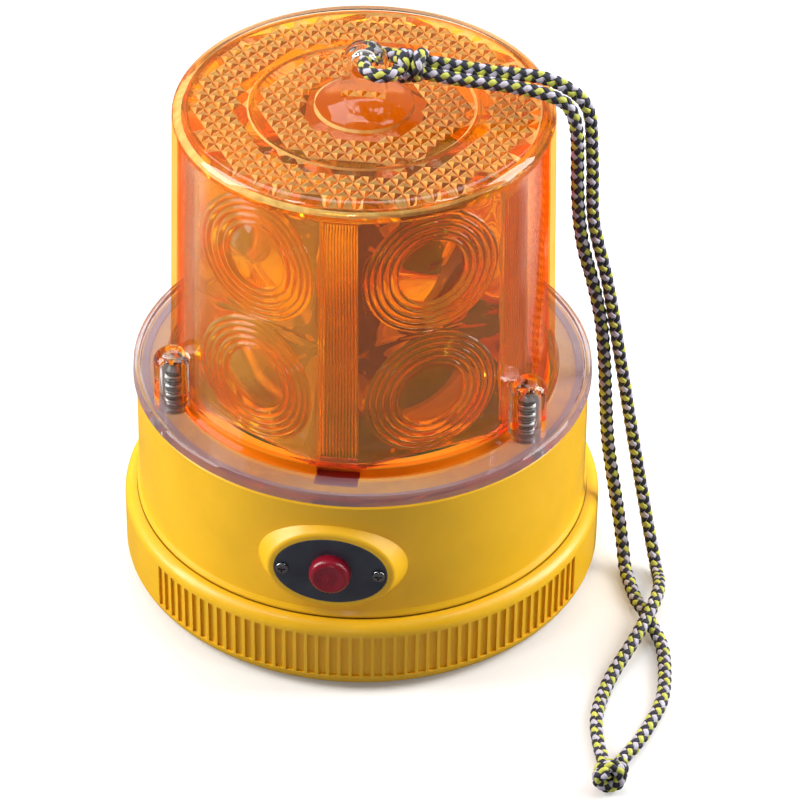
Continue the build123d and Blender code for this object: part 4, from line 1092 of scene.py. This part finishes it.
def resample(points, step):
    """Centripetal Catmull-Rom through the points, smoothed and evenly spaced.

    Returns the points and the length along the line at each."""
    controls = np.array(points, float)
    controls = np.vstack([2 * controls[0] - controls[1], controls,
                          2 * controls[-1] - controls[-2]])
    curve = []
    for p0, p1, p2, p3 in zip(controls, controls[1:], controls[2:], controls[3:]):
        t0 = 0.0
        t1 = t0 + max(1e-6, np.linalg.norm(p1 - p0)) ** 0.5
        t2 = t1 + max(1e-6, np.linalg.norm(p2 - p1)) ** 0.5
        t3 = t2 + max(1e-6, np.linalg.norm(p3 - p2)) ** 0.5
        for t in np.linspace(t1, t2, 24, endpoint=False):
            a1 = (t1 - t) / (t1 - t0) * p0 + (t - t0) / (t1 - t0) * p1
            a2 = (t2 - t) / (t2 - t1) * p1 + (t - t1) / (t2 - t1) * p2
            a3 = (t3 - t) / (t3 - t2) * p2 + (t - t2) / (t3 - t2) * p3
            b1 = (t2 - t) / (t2 - t0) * a1 + (t - t0) / (t2 - t0) * a2
            b2 = (t3 - t) / (t3 - t1) * a2 + (t - t1) / (t3 - t1) * a3
            curve.append((t2 - t) / (t2 - t1) * b1 + (t - t1) / (t2 - t1) * b2)
    curve.append(controls[-2])
    curve = np.array(curve)
    for _ in range(10):
        curve[1:-1] = 0.25 * curve[:-2] + 0.5 * curve[1:-1] + 0.25 * curve[2:]
    travelled = np.r_[0, np.cumsum(np.linalg.norm(np.diff(curve, axis=0), axis=1))]
    count = int(round(travelled[-1] / step))
    along = np.linspace(0, travelled[-1], count + 1)
    return np.stack([np.interp(along, travelled, curve[:, k]) for k in range(3)], 1), along


def unit_rows(vectors):
    return vectors / np.linalg.norm(vectors, axis=1)[:, None]


def cross_axes(line):
    """Two axes across the line at each point, carried along without twist."""
    tangents = unit_rows(np.gradient(line, axis=0))
    normals = np.zeros_like(line)
    previous = np.array([0.0, 0.0, 1.0])
    if abs(tangents[0] @ previous) > 0.9:
        previous = np.array([1.0, 0.0, 0.0])
    for i, tangent in enumerate(tangents):
        normal = previous - (previous @ tangent) * tangent
        normals[i] = previous = normal / np.linalg.norm(normal)
    return normals, np.cross(tangents, normals)


class Tubes:
    """Gathers capped tubes into one mesh."""

    def __init__(self):
        self.verts, self.faces, self.materials, self.uvs = [], [], [], []
        self.count = 0

    def add(self, line, axis_x, axis_y, half_x, half_y, material, along):
        """A tube along the line, with half-widths along its two section axes."""
        length, sides, base = len(line), YARN_SIDES, self.count
        angles = np.arange(sides) * 2 * math.pi / sides
        rings = (line[:, None, :]
                 + (axis_x * half_x)[:, None, :] * np.cos(angles)[None, :, None]
                 + (axis_y * half_y)[:, None, :] * np.sin(angles)[None, :, None])
        self.verts.append(rings.reshape(-1, 3))
        uv = np.zeros((length, sides, 2))
        uv[:, :, 0] = along[:, None]
        uv[:, :, 1] = (angles / (2 * math.pi))[None, :]
        self.uvs.append(uv.reshape(-1, 2))
        i = np.arange(length - 1)[:, None] * sides
        j = np.arange(sides)[None, :]
        k = (j + 1) % sides
        quads = np.stack([i + j, i + k, i + sides + k, i + sides + j], -1).reshape(-1, 4) + base
        self.faces += [tuple(quad) for quad in quads.tolist()]
        self.faces.append(tuple(base + x for x in reversed(range(sides))))
        self.faces.append(tuple(base + (length - 1) * sides + x for x in range(sides)))
        self.materials += [material] * (len(quads) + 2)
        self.count += length * sides


def braid(tubes, points, radius, step, phase=0.0):
    """Two opposed sets of flattened yarns, weaving over and under each other on a core."""
    line, along = resample(points, step)
    normals, binormals = cross_axes(line)
    lead = BRAID_LEAD * radius / CORD_RADIUS
    weave = 0.150 * radius
    for way in (1, -1):
        for i in range(CARRIERS):
            turn = way * 2 * math.pi * along / lead + 2 * math.pi * i / CARRIERS + phase * way
            reach = 0.640 * radius + way * weave * np.cos(2 * math.pi * CARRIERS * along / lead)
            outward = np.cos(turn)[:, None] * normals + np.sin(turn)[:, None] * binormals
            yarn = line + outward * reach[:, None]
            tangents = unit_rows(np.gradient(yarn, axis=0))
            depth_axis = unit_rows(outward - np.sum(outward * tangents, 1)[:, None] * tangents)
            width_axis = np.cross(tangents, depth_axis)
            # dark one way, lime and lilac in turn the other way
            material = 0 if way == 1 else (1 if i % 2 else 2)
            tubes.add(yarn, width_axis, depth_axis, 0.435 * radius, 0.225 * radius, material,
                      along + 3.7 * i + 11 * way)
    tubes.add(line, normals, binormals, 0.60 * radius, 0.60 * radius, 3, along)


def coil(centre, axis, radius, pitch, turns, tilt, start):
    """A short helix about the axis; tilt and start are in degrees."""
    steps_per_turn = 40
    axis = Vector(axis).normalized()
    side = axis.cross(Vector((0, 0, 1))).normalized()
    up = side.cross(axis)
    tilting = Matrix.Rotation(math.radians(tilt), 3, side)
    points = []
    for i in range(int(steps_per_turn * turns) + 1):
        t = i / steps_per_turn
        angle = 2 * math.pi * t + math.radians(start)
        point = (axis * (pitch * (t - turns / 2)) + side * (radius * math.cos(angle))
                 + up * (radius * math.sin(angle)))
        points.append(tuple((tilting @ point) + Vector(centre)))
    return points


def eye_loop():
    """Open loop around the eyelet, from the back end to the front end of its mouth."""
    turns = [math.radians(t % 360) for t in range(150, -151, -15)]
    bend = [(EYE_HALF_X - EYE_HALF_X * math.cos(t), EYE_HALF_Y * math.sin(t), EYE_Z)
            for t in turns]
    return [(9.6, 2.6, EYE_Z)] + bend + [(9.6, -2.6, EYE_Z)]


def build_cord():
    tubes = Tubes()
    braid(tubes, FIRST_STRAND, CORD_RADIUS, step=0.36)
    braid(tubes, SECOND_STRAND, CORD_RADIUS, step=0.36, phase=0.6)
    braid(tubes, eye_loop(), CORD_RADIUS, step=0.32)
    for (shape, cord_radius), centre, axis, tilt, start in KNOT_COILS:
        braid(tubes, coil(centre, axis, tilt=tilt, start=start, **shape), cord_radius, step=0.26)
    verts = np.vstack(tubes.verts)
    verts[:, 2] = np.maximum(verts[:, 2], FLOOR_CLEARANCE)
    return new_object("braided_cord", verts.tolist(), tubes.faces,
                      [YARN_DARK, YARN_LILAC, YARN_LIME, YARN_CORE], tubes.materials,
                      uvs=np.vstack(tubes.uvs))


cord = build_cord()
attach(cord, "cord")
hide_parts("lanyard_cord")
face_outward(cord.data)


# ------------------------------------------------------------------ floor
# The camera, lights, floor shading and world are turned together about Z.
YAW = math.radians(7.35)
STAGE_TURN = Matrix.Rotation(YAW, 4, "Z")


def floor_material():
    """Pale floor that looks dark in reflections, and its near part in bounced light."""
    m = Mat("pale_floor")
    pale = m.bsdf(
        Base_Color=m.mottle(3, (0.88, 0.88, 0.88), (0.90, 0.90, 0.895)), Roughness=0.75,
        Normal=m.bump(m.noise(900), strength=0.03, depth=0.0002),
        Emission_Color=WHITE, Emission_Strength=0.12)
    rays = m.node("ShaderNodeLightPath").outputs
    x, y, _ = m.xyz()
    ahead = m.add(m.mul(x, -math.sin(YAW)), m.mul(y, math.cos(YAW)))
    near = m.ramp_down(ahead, 0.02, 0.06)
    reflected = m.mul(rays["Is Glossy Ray"], rays["Is Reflection Ray"])
    mask = m.math("MAXIMUM", reflected, m.mul(rays["Is Glossy Ray"], near))
    mask = m.mul(mask, 0.95)
    mask = m.math("MAXIMUM", mask, m.mul(m.mul(rays["Is Diffuse Ray"], near), 0.70))
    dark = m.bsdf("Diffuse", Color=m.mottle(3, (0.07, 0.065, 0.065), (0.09, 0.085, 0.085)))
    return m.done(m.layer(mask, pale, dark))


def build_floor():
    cells, size, z = 24, 6000.0, -0.05
    row = cells + 1
    verts = [((x / cells - 0.5) * size, (y / cells - 0.5) * size, z)
             for y in range(row) for x in range(row)]
    faces = [(y * row + x, y * row + x + 1, (y + 1) * row + x + 1, (y + 1) * row + x)
             for y in range(cells) for x in range(cells)]
    return new_object("floor", verts, faces, [floor_material()], smooth=False)


build_floor()


# ------------------------------------------------------------------ lights and world
LAMP_MIDDLE = (0, 0, 0.07)
# area lights before the stage turn: name, location, target, width, height, watts, colour
LIGHTS = (
    ("key_left", (-0.60, -0.02, 0.38), LAMP_MIDDLE, 0.30, 0.55, 5.2, (1, 0.99, 0.97)),
    ("key_right", (0.60, 0.06, 0.34), LAMP_MIDDLE, 0.28, 0.55, 4.9, (1, 0.99, 0.98)),
    ("top_back", (0.0, 0.35, 0.70), (0, 0, 0.1), 0.55, 0.35, 2.1, WHITE),
    ("front_fill", (0.0, -0.75, 0.55), LAMP_MIDDLE, 0.5, 0.3, 0.06, (1, 0.98, 0.95)),
    ("glint", (-0.06, -0.62, 0.17), (0, 0, 0.09), 0.05, 0.08, 0.18, (1, 0.99, 0.96)),
    ("rim_left", (-0.30, -0.26, 0.62), (-0.02, -0.02, 0.12), 0.07, 0.16, 0.42, (1, 0.98, 0.95)),
    ("rim_right", (0.34, -0.22, 0.58), (0.02, -0.02, 0.12), 0.07, 0.16, 0.42, (1, 0.98, 0.95)),
)


def add_light(name, location, target, width, height, watts, colour):
    data = bpy.data.lights.new(name, "AREA")
    data.shape = "RECTANGLE"
    data.size = width
    data.size_y = height
    data.energy = watts
    data.color = colour
    light = bpy.data.objects.new(name, data)
    scene.collection.objects.link(light)
    location = STAGE_TURN @ Vector(location)
    target = STAGE_TURN @ Vector(target)
    light.location = location
    light.rotation_euler = (target - location).to_track_quat("-Z", "Y").to_euler()


def build_world():
    """Dim towards the front, brighter towards the back, and weaker in reflections."""
    world = bpy.data.worlds.new("studio")
    scene.world = world
    world.use_nodes = True
    n = Nodes(world.node_tree)
    background = world.node_tree.nodes["Background"]
    generated = n.node("ShaderNodeTexCoord").outputs["Generated"]
    turned = n.node("ShaderNodeMapping", {0: generated, "Rotation": (0, 0, -YAW)}).outputs[0]
    glow = n.ramp(n.xyz(turned)[1], -0.75, 0.35, low=0.05, high=0.62, smooth=True)
    glossy = n.node("ShaderNodeLightPath").outputs["Is Glossy Ray"]
    share = n.math("MULTIPLY_ADD", glossy, -0.55, 1.0)
    strength = n.node("ShaderNodeMath", {0: glow, 1: share}, operation="MULTIPLY").outputs[0]
    n.put(background.inputs["Strength"], strength)
    background.inputs[0].default_value = (0.97, 0.97, 1.0, 1)


for row in LIGHTS:
    add_light(*row)
build_world()


# ------------------------------------------------------------------ camera and render
CAMERA_PLACE = (0.0, -0.746816, 0.607752)   # before the stage turn
CAMERA_PITCH = math.radians(37.0433)        # looking down
CAMERA_YAW = math.radians(0.7219)           # turned towards +X
CAMERA_ROLL = math.radians(0.7667)
FOCAL_LENGTH = 167.503005                   # mm, on a 36 mm sensor


def build_camera():
    data = bpy.data.cameras.new("camera")
    data.sensor_width = 36
    data.sensor_height = 36
    data.sensor_fit = "HORIZONTAL"
    data.lens = FOCAL_LENGTH
    data.clip_start = 0.01
    data.clip_end = 20
    camera = bpy.data.objects.new("camera", data)
    scene.collection.objects.link(camera)
    forward = Vector((math.sin(CAMERA_YAW) * math.cos(CAMERA_PITCH),
                      math.cos(CAMERA_YAW) * math.cos(CAMERA_PITCH), -math.sin(CAMERA_PITCH)))
    level = Vector((math.cos(CAMERA_YAW), -math.sin(CAMERA_YAW), 0))
    upright = level.cross(forward)
    right = math.cos(CAMERA_ROLL) * level + math.sin(CAMERA_ROLL) * upright
    up = -math.sin(CAMERA_ROLL) * level + math.cos(CAMERA_ROLL) * upright
    rows = [(right[i], up[i], -forward[i], CAMERA_PLACE[i]) for i in range(3)]
    camera.matrix_world = STAGE_TURN @ Matrix((*rows, (0, 0, 0, 1)))
    scene.camera = camera


build_camera()

scene.view_settings.view_transform = "Standard"
scene.view_settings.look = "None"
scene.view_settings.exposure = 0.0
scene.cycles.max_bounces = 16
scene.cycles.transmission_bounces = 14
scene.cycles.transparent_max_bounces = 16
scene.cycles.glossy_bounces = 6
scene.cycles.diffuse_bounces = 3
scene.cycles.caustics_reflective = False
scene.cycles.caustics_refractive = False
scene.cycles.sample_clamp_indirect = 6.0
